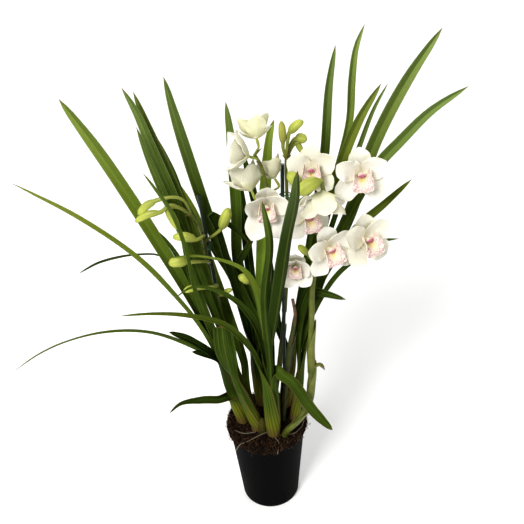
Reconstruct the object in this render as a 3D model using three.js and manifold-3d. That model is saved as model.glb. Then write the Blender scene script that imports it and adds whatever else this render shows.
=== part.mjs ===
// A potted orchid of the cymbidium kind, in flower, in its deep black nursery pot.
// Millimetres, +Z up; the origin is the middle of the pot's flat underside. The flower side looks along -Y.
import * as THREE from 'three';
import { mergeVertices } from 'three/addons/utils/BufferGeometryUtils.js';
import Module from 'manifold-3d';

const wasm = await Module();
wasm.setup();

// Driving dimensions of the pot
const POT_HEIGHT = 165;
const RIM_RADIUS = 65;
const BASE_RADIUS = 48.4;
const POT_WALL = 1.8;
const POT_SIDES = 24;
const FLOOR_RISE = 3;
const DRAIN_COUNT = 6;
const DRAIN_RADIUS = 4.5;
const DRAIN_CIRCLE = 31;

// Driving dimensions of the potting mix and of what stands in it
const MIX_TOP = 165;
const MIX_RELIEF = 2.5;
const GAP = 0.3;
const ROOT_DEPTH = 35;
const FOOT_TOP = 172;
const BULB_HEIGHT = 100;
const BULB_SIDES = 8;
const BULB_SHARES = [0.8, 0.8, 0.8, 0.92, 1, 1, 0.94, 0.82, 0.62];
const STAKE_RADIUS = 2.8;
const STAKE_SIDES = 8;
const FOOT_SIDES = 6;
const FOOT_PLAY = 0.9;
const PEDICEL_RADIUS = 1.6;
const ROOT_RADIUS = 1.3;

// Driving dimensions of leaves and flowers
const FRONT_TURN = 58;
const NARROW = 10;
const LEAF_THICK = 1.3;
const EDGE_THICK = 0.8;
const BLADE_WIDTHS = [0.45, 0.72, 0.92, 1, 1, 0.98, 0.9, 0.66, 0.12];
const TEPAL_LENGTH = 33;
const TEPAL_WIDTH = 26;
const TEPAL_THICK = 0.9;
const COLUMN_LENGTH = 13;
const COLUMN_RADIUS = 3.2;
const LIP_LENGTH = 28;
const LIP_WIDTH = 28;
const HUB_RADIUS = 5.8;
const HUB_BACK = 3.5;
const HUB_FRONT = 2.2;
const TEPAL_START = 2.8;
const PETAL_AHEAD = 1.2;
const PETAL_CUP = 0.3;
const FLAT_LIFT = [12, 22, 8];
const SPLAY = 42;

// Materials, one for each kind of surface
const skinOf = (color, roughness) => new THREE.MeshStandardMaterial({ color, roughness, metalness: 0 });
const potBlack = skinOf(0x17181a, 0.55);
const barkBrown = skinOf(0x33261c, 0.95);
const leafGreen = skinOf(0x4f7a2c, 0.45);
const stemGreen = skinOf(0x86a345, 0.5);
const driedBrown = skinOf(0x6e5536, 0.85);
const stakeGreen = skinOf(0x1c4429, 0.4);
const tieGreen = skinOf(0x2f5d3b, 0.5);
const petalCream = skinOf(0xf4f0e2, 0.5);
const lipBlush = skinOf(0xf0cfc8, 0.5);

const UP = new THREE.Vector3(0, 0, 1);
const radians = THREE.MathUtils.degToRad;
const mix = THREE.MathUtils.lerp;

// A value read from a short list that is spread evenly from 0 to 1
function along(list, t) {
  const place = t * (list.length - 1);
  const index = Math.min(Math.floor(place), list.length - 2);
  return mix(list[index], list[index + 1], place - index);
}

// The closed solid of a list of points and a list of triangles
function solid(points, triangles) {
  const vertProperties = new Float32Array(points.flatMap((p) => [p.x, p.y, p.z]));
  const triVerts = new Uint32Array(triangles);
  return new wasm.Manifold(new wasm.Mesh({ numProp: 3, vertProperties, triVerts }));
}

// The closed solid of one of the library's own geometries
function solidOf(geometry) {
  const bare = geometry.clone();
  bare.deleteAttribute('normal');
  bare.deleteAttribute('uv');
  const merged = mergeVertices(bare, 1e-4);
  const vertProperties = new Float32Array(merged.attributes.position.array);
  const triVerts = new Uint32Array(merged.index.array);
  return new wasm.Manifold(new wasm.Mesh({ numProp: 3, vertProperties, triVerts }));
}

// Solids fused into one body; a crumb or a sealed hollow that fusing leaves is dropped
function join(solids) {
  const bodies = solids.reduce((sum, next) => sum.add(next)).decompose();
  return bodies.reduce((largest, body) => (body.volume() > largest.volume() ? body : largest));
}

// A thin closed sheet between two alike grids of points, split the same way on both faces
function sheet(front, back) {
  const rows = front.length;
  const cols = front[0].length;
  const points = [...front.flat(), ...back.flat()];
  const at = (row, col, side) => side * rows * cols + row * cols + col;
  const faces = [];
  const quad = (a, b, c, d) => faces.push(a, b, c, a, c, d);
  for (let i = 0; i < rows - 1; i++) {
    for (let j = 0; j < cols - 1; j++) {
      quad(at(i, j, 0), at(i, j + 1, 0), at(i + 1, j + 1, 0), at(i + 1, j, 0));
      faces.push(at(i, j, 1), at(i + 1, j + 1, 1), at(i, j + 1, 1));
      faces.push(at(i, j, 1), at(i + 1, j, 1), at(i + 1, j + 1, 1));
    }
  }
  for (let i = 0; i < rows - 1; i++) {
    quad(at(i, 0, 1), at(i, 0, 0), at(i + 1, 0, 0), at(i + 1, 0, 1));
    quad(at(i, cols - 1, 0), at(i, cols - 1, 1), at(i + 1, cols - 1, 1), at(i + 1, cols - 1, 0));
  }
  for (let j = 0; j < cols - 1; j++) {
    quad(at(0, j, 1), at(0, j + 1, 1), at(0, j + 1, 0), at(0, j, 0));
    quad(at(rows - 1, j, 0), at(rows - 1, j + 1, 0), at(rows - 1, j + 1, 1), at(rows - 1, j, 1));
  }
  return solid(points, faces);
}

// A round solid along a curve through the given points; the radii are spread evenly along it
function tube(path, radii, sides = 6, steps = path.length * 2) {
  const curve = new THREE.CatmullRomCurve3(path, false, 'centripetal');
  const points = [];
  let side = new THREE.Vector3(1, 0, 0);
  for (let i = 0; i <= steps; i++) {
    const t = i / steps;
    const centre = curve.getPointAt(t);
    const tangent = curve.getTangentAt(t);
    if (i === 0 && Math.abs(tangent.x) > 0.9) side = new THREE.Vector3(0, 1, 0);
    side = side.clone().addScaledVector(tangent, -side.dot(tangent)).normalize();
    const other = tangent.clone().cross(side);
    for (let k = 0; k < sides; k++) {
      const angle = (2 * Math.PI * k) / sides;
      const radius = along(radii, t);
      points.push(centre.clone().addScaledVector(side, radius * Math.cos(angle))
        .addScaledVector(other, radius * Math.sin(angle)));
    }
  }
  const faces = [];
  for (let i = 0; i < steps; i++) {
    for (let k = 0; k < sides; k++) {
      const a = i * sides + k;
      const b = i * sides + ((k + 1) % sides);
      faces.push(a, b, b + sides, a, b + sides, a + sides);
    }
  }
  const last = steps * sides;
  for (let k = 1; k < sides - 1; k++) faces.push(0, k + 1, k, last, last + k, last + k + 1);
  return solid(points, faces);
}

const vec = (x, y, z) => new THREE.Vector3(x, y, z);
const route = (points) => points.map(([x, y, z]) => vec(x, y, z));

// A strap leaf with a fold along its midrib. It lies in the upright plane of its heading, from the growth
// at foot; path lists how far out and how high it is, with a third value where it also sways sideways.
// Most leaves turn their upper face towards the front, the more the further they lean to a side.
function strap(foot, { heading, width, path, twist, fold = [50, 24, 14], shape, steps = 5 }) {
  const out = vec(Math.cos(radians(heading)), Math.sin(radians(heading)), 0);
  const across = UP.clone().cross(out);
  const points = path.map(([reach, height, sway = 0]) =>
    vec(foot[0], foot[1], height).addScaledVector(out, reach).addScaledVector(across, sway));
  const spine = new THREE.CatmullRomCurve3(points, false, 'centripetal');
  const turns = twist ?? [0, 0.8, 1, 1].map((share) => share * FRONT_TURN * Math.cos(radians(heading)));
  const widths = shape ?? BLADE_WIDTHS;
  const columns = width < NARROW ? [1, -1] : [1, 0, -1];
  const depths = width < NARROW ? [EDGE_THICK, EDGE_THICK] : [EDGE_THICK, LEAF_THICK, EDGE_THICK];
  const front = [];
  const back = [];
  for (let i = 0; i <= steps; i++) {
    const t = i / steps;
    const centre = spine.getPointAt(t);
    const tangent = spine.getTangentAt(t);
    const level = across.clone().addScaledVector(tangent, -across.dot(tangent)).normalize();
    const upper = tangent.clone().cross(level).normalize();
    const turn = radians(along(turns, t));
    const side = level.clone().multiplyScalar(Math.cos(turn)).addScaledVector(upper, Math.sin(turn));
    const face = upper.clone().multiplyScalar(Math.cos(turn)).addScaledVector(level, -Math.sin(turn));
    const half = (width / 2) * along(widths, t);
    const lift = width < NARROW ? 0 : radians(along(fold, t));
    const row = columns.map((u) => centre.clone().addScaledVector(side, u * half * Math.cos(lift))
      .addScaledVector(face, Math.abs(u) * half * Math.sin(lift)));
    front.push(row);
    back.push(row.map((p, j) => p.clone().addScaledVector(face, -depths[j])));
  }
  return sheet(front, back);
}

// A growth: the long sheathed bulb on its foot in the mix, and the leaves that sprout from it
function growth({ foot, radius, lean = [0, 0], leaves, roots = [] }) {
  const [x, y] = foot;
  const top = FOOT_TOP + BULB_HEIGHT;
  const bulb = tube([
    vec(x, y, MIX_TOP - ROOT_DEPTH), vec(x, y, MIX_TOP - 6), vec(x, y, FOOT_TOP),
    vec(x + lean[0] * 0.2, y + lean[1] * 0.2, mix(FOOT_TOP, top, 0.2)),
    vec(x + lean[0] * 0.6, y + lean[1] * 0.6, mix(FOOT_TOP, top, 0.6)), vec(x + lean[0], y + lean[1], top),
  ], BULB_SHARES.map((share) => share * radius), BULB_SIDES, BULB_SHARES.length - 1);
  return join([bulb, ...leaves.map((leaf) => strap(foot, leaf)), ...roots.map(surfaceRoot)]);
}

// A root that creeps over the mix
const surfaceRoot = (points) => tube(route(points), [ROOT_RADIUS, ROOT_RADIUS, 0.8], 5, 8);

const GROWTHS = {
  front: {
    foot: [10, -27], radius: 14, lean: [-1, -4],
    leaves: [
      { heading: -60, width: 25, twist: [0, 0, 0],
        path: [[2, 200], [3, 262], [7, 364], [22, 420], [46, 517], [66, 600], [88, 676], [95, 724]],
        steps: 7 },
      { heading: -86, width: 13, path: [[6, 200], [14, 330], [32, 480, -4], [48, 590, 6], [60, 668, -2]] },
      { heading: 185, width: 13, twist: [0, 40, 60, 20],
        path: [[2, 200], [6, 300], [14, 470], [30, 511], [60, 534], [95, 547], [134, 549]], steps: 7 },
      { heading: 196, width: 15, steps: 7, shape: [0.6, 0.85, 1, 1, 0.95, 0.75, 0.5, 0.3, 0.12],
        path: [[5, 200], [8, 309], [18, 404], [43, 461], [77, 496], [106, 509], [134, 497]] },
      { heading: 206, width: 16, steps: 6, shape: [0.7, 0.95, 1, 0.9, 0.75, 0.55, 0.4, 0.25, 0.12],
        path: [[7, 200], [12, 266], [29, 360], [71, 437], [122, 477], [176, 505], [220, 521]] },
      { heading: -30, width: 20, steps: 7,
        path: [[6, 200], [10, 270], [14, 316], [24, 312], [42, 296], [72, 254], [107, 222]] },
      { heading: 70, width: 14, path: [[4, 200], [6, 300], [10, 400], [14, 500]], steps: 4 },
    ],
    roots: [[[2, -30, 172], [-14, -38, 173], [-34, -48, 170], [-46, -52, 169], [-52, -56, 162]]],
  },
  left: {
    foot: [-16, -14], radius: 13, lean: [-21, -5],
    leaves: [
      { heading: 168, width: 17,
        path: [[6, 200], [52, 335], [80, 465], [90, 591], [119, 703], [133, 754], [147, 787]] },
      { heading: 162, width: 17,
        path: [[4, 200], [44, 370], [70, 509], [90, 604], [106, 660], [127, 733], [138, 774]] },
      { heading: 175, width: 13,
        path: [[3, 200], [50, 400], [79, 535], [107, 637], [120, 690], [130, 739]] },
      { heading: 122, width: 18, steps: 6,
        path: [[4, 200], [30, 300], [70, 380], [118, 463], [141, 516], [203, 550], [245, 556]] },
      { heading: 200, width: 8,
        path: [[5, 200], [46, 330], [80, 491], [86, 565], [99, 631], [116, 673], [130, 703]] },
      { heading: 215, width: 32, twist: [0, 20, 45, 55, 55], fold: [60, 45, 15, 8],
        shape: [0.5, 0.4, 0.4, 0.45, 0.55, 0.8, 1, 0.97, 0.88], steps: 8,
        path: [[6, 195], [14, 225], [36, 290], [49, 372], [50, 421]] },
    ],
  },
  far_left: {
    foot: [-41, 6], radius: 13, lean: [-17, -1],
    leaves: [
      { heading: 172, width: 21,
        path: [[4, 200], [34, 335], [64, 435], [115, 566], [161, 674], [208, 767]] },
      { heading: 176, width: 9, path: [[2, 200], [20, 300], [43, 410], [76, 518], [96, 558]] },
      { heading: 196, width: 14, twist: [0, 20, 50, 40],
        path: [[6, 200], [49, 376], [93, 475], [138, 554], [204, 636], [273, 706]], steps: 6 },
      { heading: 164, width: 8, twist: [0, 40, 60],
        path: [[2, 200], [52, 421], [102, 497], [139, 497], [207, 473], [249, 444]], steps: 7 },
      { heading: 206, width: 15, twist: [0, 20, 50, 30], steps: 8,
        shape: [0.6, 0.9, 1, 0.9, 0.7, 0.5, 0.35, 0.12],
        path: [[6, 200], [18, 279], [37, 320], [75, 368], [135, 425], [198, 456], [253, 466], [298, 462],
          [338, 447]] },
      { heading: 217, width: 15, path: [[7, 200], [35, 320], [78, 391], [116, 434]], steps: 5 },
      { heading: 212, width: 14, path: [[8, 200], [24, 274], [40, 331], [60, 352], [78, 366]], steps: 5 },
      { heading: 207, width: 15, shape: [0.6, 0.85, 1, 0.95, 0.85, 0.6, 0.35, 0.12],
        path: [[8, 200], [18, 222], [42, 236], [72, 252], [106, 262], [126, 252]], steps: 6 },
    ],
  },
  back: {
    foot: [-6, 42], radius: 13, lean: [-3, 6],
    leaves: [
      { heading: 175, width: 20,
        path: [[0, 200], [-4, 322], [19, 400], [50, 500], [75, 620], [93, 720], [102, 782]] },
      { heading: 140, width: 14,
        path: [[3, 200], [24, 350], [30, 453], [19, 478], [8, 498], [-6, 524]], steps: 6 },
      { heading: 156, width: 7,
        path: [[5, 200], [16, 330], [40, 430], [66, 480], [104, 560], [118, 612], [136, 661]] },
      { heading: 128, width: 18, path: [[3, 200], [14, 388], [38, 450], [32, 560], [32, 671], [37, 729]] },
      { heading: 60, width: 21, shape: [0.5, 0.8, 1, 1, 0.95, 0.8, 0.4],
        path: [[3, 200], [20, 400], [56, 600], [72, 654], [88, 671]] },
      { heading: 198, width: 15, steps: 7,
        path: [[2, 200], [30, 400], [54, 560], [61, 582], [44, 566], [16, 530], [4, 508]] },
      { heading: 100, width: 16, path: [[5, 200], [16, 340], [50, 500], [90, 590]] },
      { heading: 80, width: 17, path: [[7, 200], [30, 320], [80, 440], [150, 520], [210, 540]], steps: 6 },
    ],
  },
  right: {
    foot: [33, 34], radius: 11, lean: [12, 9],
    leaves: [
      { heading: 52, width: 16,
        path: [[5, 200], [34, 300], [84, 450], [128, 594], [143, 708], [160, 762]] },
      { heading: 38, width: 15, twist: [0, 30, 45, 80, 40],
        path: [[3, 200], [24, 300], [80, 460], [121, 584], [145, 660], [150, 722], [158, 770], [174, 799]],
        steps: 7 },
      { heading: 26, width: 18,
        path: [[4, 200], [20, 303], [60, 460], [100, 587], [140, 674], [176, 722]] },
      { heading: 16, width: 8, path: [[5, 200], [19, 304], [80, 500], [126, 639], [149, 701], [170, 738]] },
      { heading: 6, width: 21,
        path: [[6, 200], [18, 308], [60, 440], [105, 535], [145, 667], [185, 753], [229, 824]] },
      { heading: 110, width: 16, path: [[6, 200], [20, 330], [60, 480], [130, 600]] },
    ],
  },
  far_right: {
    foot: [47, 2], radius: 11, lean: [8, 0],
    leaves: [
      { heading: -4, width: 17,
        path: [[6, 200], [20, 308], [50, 470], [120, 651], [156, 699], [193, 742], [237, 775]] },
      { heading: 4, width: 14, path: [[4, 200], [14, 338], [50, 464], [103, 550], [138, 583], [177, 621]] },
      { heading: -14, width: 8,
        path: [[4, 200], [14, 330], [70, 480], [128, 536, 12], [138, 543, 12], [158, 548, 12]] },
      { heading: -28, width: 15, path: [[5, 200], [12, 320], [28, 430], [41, 454], [60, 456], [90, 455]] },
    ],
  },
};

// A flower spike: its stem, the stalk of each bloom and the buds, all grown as one piece
function spike({ foot, stem, radii, steps, carries, buds }) {
  const [x, y] = foot;
  const low = [MIX_TOP - ROOT_DEPTH, MIX_TOP - 6, FOOT_TOP].map((z) => vec(x, y, z));
  const stalks = Object.entries(carries).map(([name, from]) => stalkTo(BLOOMS[name], vec(...from)));
  return join([tube([...low, ...route(stem)], radii, FOOT_SIDES, steps), ...stalks, ...buds.map(bud)]);
}

// The stalk of a bloom, from its spike to just behind the bloom's hub
function stalkTo({ centre, heading, elevation, roll = 0 }, from) {
  const { forward } = bloomAxes(heading, elevation, roll);
  const end = vec(...centre).addScaledVector(forward, -HUB_BACK - GAP);
  const bend = end.clone().addScaledVector(forward, -12);
  const radii = [PEDICEL_RADIUS, PEDICEL_RADIUS * 1.15];
  return tube([from, from.clone().lerp(bend, 0.6), bend, end], radii, 4, 3);
}

// A bud on its stalk: the last two points are the bud's base and tip
function bud({ stalk, thick }) {
  const points = route(stalk);
  const tip = points[points.length - 1];
  const base = points[points.length - 2];
  const middle = base.clone().lerp(tip, 0.5);
  const body = tube([base, middle, tip], [0.35, 0.95, 0.95, 0.15].map((share) => (share * thick) / 2), 6, 3);
  if (points.length === 2) return body;
  return body.add(tube([...points.slice(0, -1), middle], [PEDICEL_RADIUS, PEDICEL_RADIUS], 4, 3));
}

// The axes of a bloom that faces a heading and an elevation: right, up and forward
function bloomAxes(heading, elevation, roll) {
  const h = radians(heading);
  const e = radians(elevation);
  const forward = vec(Math.cos(h) * Math.cos(e), Math.sin(h) * Math.cos(e), Math.sin(e));
  const right = UP.clone().cross(forward).normalize().applyAxisAngle(forward, radians(roll));
  return { right, up: forward.clone().cross(right), forward };
}

// One sepal or petal: a cupped blade that leaves the hub at an angle round it and bends forward
function tepal(centre, axes, { angle, length, width, lift, cup, shape }) {
  const a = radians(angle);
  const radial = axes.right.clone().multiplyScalar(Math.cos(a)).addScaledVector(axes.up, Math.sin(a));
  const across = axes.right.clone().multiplyScalar(-Math.sin(a)).addScaledVector(axes.up, Math.cos(a));
  const rows = shape.length;
  const front = [];
  const back = [];
  const place = centre.clone().addScaledVector(radial, TEPAL_START);
  for (let i = 0; i < rows; i++) {
    const t = i / (rows - 1);
    const rise = radians(along(lift, t));
    const ahead = radial.clone().multiplyScalar(Math.cos(rise))
      .addScaledVector(axes.forward, Math.sin(rise));
    const face = axes.forward.clone().multiplyScalar(Math.cos(rise))
      .addScaledVector(radial, -Math.sin(rise));
    if (i > 0) place.addScaledVector(ahead, length / (rows - 1));
    const half = (width / 2) * along(shape, t);
    const row = [1, 0, -1].map((u) => place.clone().addScaledVector(across, u * half)
      .addScaledVector(face, Math.abs(u) * half * cup));
    front.push(row);
    back.push(row.map((p) => p.clone().addScaledVector(face, -TEPAL_THICK)));
  }
  return sheet(front, back);
}

// The five tepals of a bloom, fused at a small hub: a hood, two petals and two lower sepals
function tepals(bloom) {
  const { centre, heading, elevation, roll = 0, size = 1 } = bloom;
  const { lift = FLAT_LIFT, lower = 1, splay = SPLAY } = bloom;
  const axes = bloomAxes(heading, elevation, roll);
  const middle = vec(...centre);
  const back = middle.clone().addScaledVector(axes.forward, -PETAL_AHEAD);
  const front = middle.clone().addScaledVector(axes.forward, PETAL_AHEAD);
  const sepal = { length: TEPAL_LENGTH * size, width: TEPAL_WIDTH * size, shape: [0.14, 0.85, 1, 0.55] };
  const petal = { ...sepal, width: TEPAL_WIDTH * size * 0.92, lift, cup: PETAL_CUP };
  const flatter = { ...sepal, lift: lift.map((v) => v - 5), cup: PETAL_CUP / 2 };
  const hanging = { ...flatter, length: sepal.length * lower };
  const hub = tube([-HUB_BACK, 0, HUB_FRONT].map((f) => middle.clone().addScaledVector(axes.forward, f)),
    [HUB_RADIUS * 0.6, HUB_RADIUS, HUB_RADIUS * 0.6], 6, 2);
  return join([
    hub,
    tepal(back, axes, { ...flatter, angle: 90, width: sepal.width * 0.9 }),
    tepal(front, axes, { ...petal, angle: 30 }),
    tepal(front, axes, { ...petal, angle: 150 }),
    tepal(back, axes, { ...hanging, angle: -splay }),
    tepal(back, axes, { ...hanging, angle: splay - 180 }),
  ]);
}

// The lip with its raised side lobes and rolled-down front, and the arched column over it
function lipAndColumn({ centre, heading, elevation, roll = 0, size = 1, lip = 1 }) {
  const { right, up, forward } = bloomAxes(heading, elevation, roll);
  const start = vec(...centre).addScaledVector(forward, HUB_FRONT + GAP);
  const at = (f, u, r = 0) => start.clone().addScaledVector(forward, f * size * lip)
    .addScaledVector(up, u * size * lip).addScaledVector(right, r * size * lip);
  const column = tube([at(1, 1), at(COLUMN_LENGTH * 0.5, 3), at(COLUMN_LENGTH, 2.2)],
    [0.95, 0.85, 1.1, 0.7].map((share) => share * COLUMN_RADIUS * size * lip), 4, 2);
  const rows = 5;
  const front = [];
  const back = [];
  let f = 0.5;
  let u = -1;
  for (let i = 0; i < rows; i++) {
    const t = i / (rows - 1);
    const dip = radians(along([15, 8, 50, 105], t));
    if (i > 0) {
      f += (LIP_LENGTH / (rows - 1)) * Math.cos(dip);
      u -= (LIP_LENGTH / (rows - 1)) * Math.sin(dip);
    }
    const half = (LIP_WIDTH / 2) * along([0.25, 0.8, 0.85, 0.95, 0.5], t);
    const raise = along([0.2, 1, 0.7, 0.15, 0], t);
    const face = up.clone().multiplyScalar(Math.cos(dip)).addScaledVector(forward, Math.sin(dip));
    const row = [1, 0, -1].map((s) => at(f, u, s * half)
      .addScaledVector(face, raise * half * size * lip * Math.abs(s)));
    front.push(row);
    back.push(row.map((p) => p.clone().addScaledVector(face, -TEPAL_THICK)));
  }
  return column.add(sheet(front, back));
}

const BLOOMS = {
  bloom_right_1: { centre: [56, -27, 511], heading: -98, elevation: 12, lift: [34, 50, 42], lip: 0.74 },
  bloom_right_2: { centre: [101, -47, 556], heading: -72, elevation: 5,
    roll: 12, size: 1.08, lower: 1.15 },
  bloom_right_3: { centre: [72, -32, 601], heading: -70, elevation: 5 },
  bloom_right_4: { centre: [152, -36, 558], heading: -62, elevation: 15, size: 1.15 },
  bloom_right_5: { centre: [92, -56, 654], heading: -88, elevation: -70,
    lift: [25, 45, 60], size: 1.18, lip: 0.55 },
  bloom_right_6: { centre: [146, -26, 661], heading: -88, elevation: 8, size: 1.1, lower: 1.15 },
  bloom_right_7: { centre: [83, 12, 646], heading: -94, elevation: 22, size: 1.05 },
  bloom_left_1: { centre: [18, -27, 619], heading: -90, elevation: 4, splay: 58,
    lift: [25, 42, 38], size: 1.12, lip: 0.85, lower: 1.3 },
  bloom_left_2: { centre: [31, 17, 638], heading: 130, elevation: 50,
    lift: [35, 58, 72], size: 0.9, lip: 0.55 },
  bloom_left_3: { centre: [-2, -12, 639], heading: 125, elevation: 50,
    lift: [36, 58, 74], size: 1.15, lip: 0.45 },
  bloom_left_4: { centre: [-4, -9, 689], heading: 184, elevation: 25,
    lift: [30, 52, 66], size: 1.15, lip: 0.5 },
  bloom_left_5: { centre: [10, 10, 707], heading: 100, elevation: 40,
    lift: [26, 48, 62], size: 0.95, lip: 0.6 },
};

// Each spike: its stem, where the stalk of each bloom leaves it, and its buds
const SPIKES = {
  spike_right: {
    foot: [29, -36], steps: 24,
    stem: [[50, -40, 205], [68, -41, 245], [74, -40, 300], [74, -38, 360], [76, -36, 410], [78, -32, 465],
      [84, -28, 520], [94, -20, 560], [101, -8, 600], [105, -1, 622]],
    radii: [4.6, 4.6, 4.6, 5.6, 5.8, 5.6, 5.2, 4.6, 4.4, 4.2, 3.6, 3, 2.4],
    carries: {
      bloom_right_1: [79, -31, 475], bloom_right_2: [84, -28, 518], bloom_right_3: [93, -21, 556],
      bloom_right_4: [92, -22, 550], bloom_right_5: [103, -5, 610], bloom_right_6: [102, -6, 605],
      bloom_right_7: [105, -2, 620],
    },
    buds: [{ stalk: [[84, -28, 515], [76, -33, 530], [72, -36, 540], [60, -40, 558]], thick: 10 }],
  },
  spike_middle: {
    foot: [14, 24], steps: 12,
    stem: [[30, 26, 300], [43, 28, 450], [48, 28.5, 560], [49, 28.5, 600], [49, 28, 640], [50, 26, 668]],
    radii: [3.8, 3.8, 3.6, 3.2, 3, 2.8, 2.6, 2.4],
    carries: {},
    buds: [
      { stalk: [[50, 26, 660], [46, 26, 676], [46, 26, 684], [45, 26, 718]], thick: 10 },
      { stalk: [[50, 26, 666], [53, 26, 690], [55, 26, 700], [74, 26, 717]], thick: 12 },
      { stalk: [[50, 27, 660], [58, 36, 678], [64, 37, 684], [79, 37, 681]], thick: 14 },
      { stalk: [[50, 27, 658], [60, 37, 673], [66, 37, 678], [73, 37, 661]], thick: 8 },
      { stalk: [[49, 28, 590], [60, 0, 604], [76, -34, 640], [89, -58, 674],
        [88, -70, 682], [59, -76, 668]], thick: 18 },
      { stalk: [[49, 28, 585], [54, 4, 602], [60, -22, 634], [64, -33, 652], [50, -35, 675]], thick: 16 },
    ],
  },
  spike_left: {
    foot: [6, 10], steps: 12,
    stem: [[8, 6, 300], [14, 0, 450], [20, -4, 554], [20.5, -4, 606], [20, -4, 634], [17, -4, 657],
      [12, -4, 676], [6, -5, 688]],
    radii: [3.8, 3.8, 3.6, 3.4, 3, 2.8, 2.4, 2.2],
    carries: {
      bloom_left_1: [20, -4, 640], bloom_left_2: [20, -4, 620], bloom_left_3: [20, -4, 600],
      bloom_left_4: [13, -4, 672], bloom_left_5: [6, -5, 687],
    },
    buds: [{ stalk: [[14, 0, 440], [0, 0, 456], [-12, 0, 466], [-28, -2, 480]], thick: 13 }],
  },
  spike_buds: {
    foot: [-26, 30], steps: 13,
    stem: [[-50, 20, 300], [-66, 22, 415], [-74, 26, 458], [-73.5, 27, 489], [-74.5, 26, 519], [-76, 16, 548],
      [-80, 2, 578], [-87, -9, 600]],
    radii: [3.8, 3.8, 3.8, 3.8, 3.6, 3.4, 3.2, 3, 2.4],
    carries: {},
    buds: [
      { stalk: [[-86, -8, 598], [-95, -16, 630], [-108, -17, 636],
        [-132, -17, 632], [-158, -17, 611]], thick: 11 },
      { stalk: [[-86, -8, 598], [-100, -20, 620], [-112, -22, 627],
        [-127, -22, 616], [-163, -22, 603]], thick: 10 },
      { stalk: [[-86, -8, 598], [-104, -16, 618], [-118, -18, 621], [-106, -18, 583]], thick: 12 },
      { stalk: [[-76, 18, 543], [-73, -6, 560], [-83, -18, 563], [-115, -18, 570]], thick: 13 },
      { stalk: [[-75, 23, 530], [-61, 17, 543], [-48, 15, 556], [-35, 15, 590]], thick: 15 },
      { stalk: [[-73.5, 26, 484], [-70, 4, 506], [-84, -18, 524],
        [-99, -20, 526], [-125, -20, 525]], thick: 15 },
      { stalk: [[-72, 25, 446], [-62, 8, 458], [-64, -12, 472],
        [-87, -20, 477], [-109, -20, 473]], thick: 10 },
      { stalk: [[-70, 24, 436], [-64, 12, 436], [-54, 10, 438], [-40, 9, 447]], thick: 8 },
    ],
  },
  old_spike: {
    foot: [28, -2], steps: 12,
    stem: [[36, -6, 260], [44, -10, 345], [53, -12, 405], [50, -12, 438]],
    radii: [3.4, 3.4, 3.2, 3.2, 4.4, 4.2, 3, 2.6],
    carries: {},
    buds: [],
  },
};

const HOLE_BOTTOM = MIX_TOP - ROOT_DEPTH - GAP;

// The plain hole that a stem or a bulb's foot stands in
const holeFor = ([x, y], radius, sides) =>
  tube([vec(x, y, HOLE_BOTTOM), vec(x, y, POT_HEIGHT + 20)], [radius, radius], sides, 1);

// A stake's hole leans as the stake does
function stakeHole({ foot, top }) {
  const [from, to] = route([foot, top]);
  const start = from.clone().lerp(to, -GAP / from.distanceTo(to));
  return tube([start, to], [STAKE_RADIUS + GAP * 1.5, STAKE_RADIUS + GAP * 1.5], STAKE_SIDES, 1);
}

// The pot: a tapered wall with a rolled rim, a foot ring and a floor that steps down to a flat middle
function potSolid() {
  const wallAt = (z) => mix(BASE_RADIUS, RIM_RADIUS - 1.8, z / POT_HEIGHT);
  const lip = POT_HEIGHT - 7;
  const profile = [
    [0, 0], [20, 0], [23, FLOOR_RISE], [40, FLOOR_RISE], [42, 0], [BASE_RADIUS, 0],
    [wallAt(lip), lip], [RIM_RADIUS, lip + 1], [RIM_RADIUS, POT_HEIGHT - 1], [RIM_RADIUS - 1, POT_HEIGHT],
    [RIM_RADIUS - 3, POT_HEIGHT], [wallAt(lip) - POT_WALL, lip],
    [BASE_RADIUS - POT_WALL, FLOOR_RISE + POT_WALL], [0, FLOOR_RISE + POT_WALL],
  ];
  const body = solidOf(new THREE.LatheGeometry(profile.map(([r, z]) => new THREE.Vector2(r, z)), POT_SIDES)
    .rotateX(Math.PI / 2));
  let pierced = body;
  for (let i = 0; i < DRAIN_COUNT; i++) {
    const angle = (2 * Math.PI * (i + 0.5)) / DRAIN_COUNT;
    const hole = new THREE.CylinderGeometry(DRAIN_RADIUS, DRAIN_RADIUS, 12, 8).rotateX(Math.PI / 2)
      .translate(DRAIN_CIRCLE * Math.cos(angle), DRAIN_CIRCLE * Math.sin(angle), FLOOR_RISE);
    pierced = pierced.subtract(solidOf(hole));
  }
  return pierced;
}

// The potting mix: it fills the pot, with an uneven top and a plain hole for each stem
function mixSolid(holes) {
  const floor = FLOOR_RISE + POT_WALL + GAP;
  const profile = [
    [0, floor], [BASE_RADIUS - POT_WALL - 0.4, floor], [60.4, POT_HEIGHT - 7], [61.3, MIX_TOP - 1],
    [56, MIX_TOP + 2], [46, MIX_TOP + 1], [34, MIX_TOP], [20, MIX_TOP + 1], [0, MIX_TOP + 1],
  ];
  const shape = new THREE.LatheGeometry(profile.map(([r, z]) => new THREE.Vector2(r, z)), POT_SIDES)
    .rotateX(Math.PI / 2);
  const place = shape.attributes.position;
  for (let i = 0; i < place.count; i++) {
    const [x, y, z] = [place.getX(i), place.getY(i), place.getZ(i)];
    const bumps = Math.sin(x * 0.31 + 1) * Math.cos(y * 0.27) + 0.6 * Math.sin(x * 0.13 - y * 0.41);
    if (z >= MIX_TOP) place.setZ(i, z + (MIX_RELIEF * bumps) / 1.6);
  }
  return holes.reduce((body, hole) => body.subtract(hole), solidOf(shape));
}

// A straight garden stake from its foot in the mix to its flat top
function stake(foot, top) {
  return tube([vec(...foot), vec(...top)], [STAKE_RADIUS, STAKE_RADIUS], STAKE_SIDES, 1);
}

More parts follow.
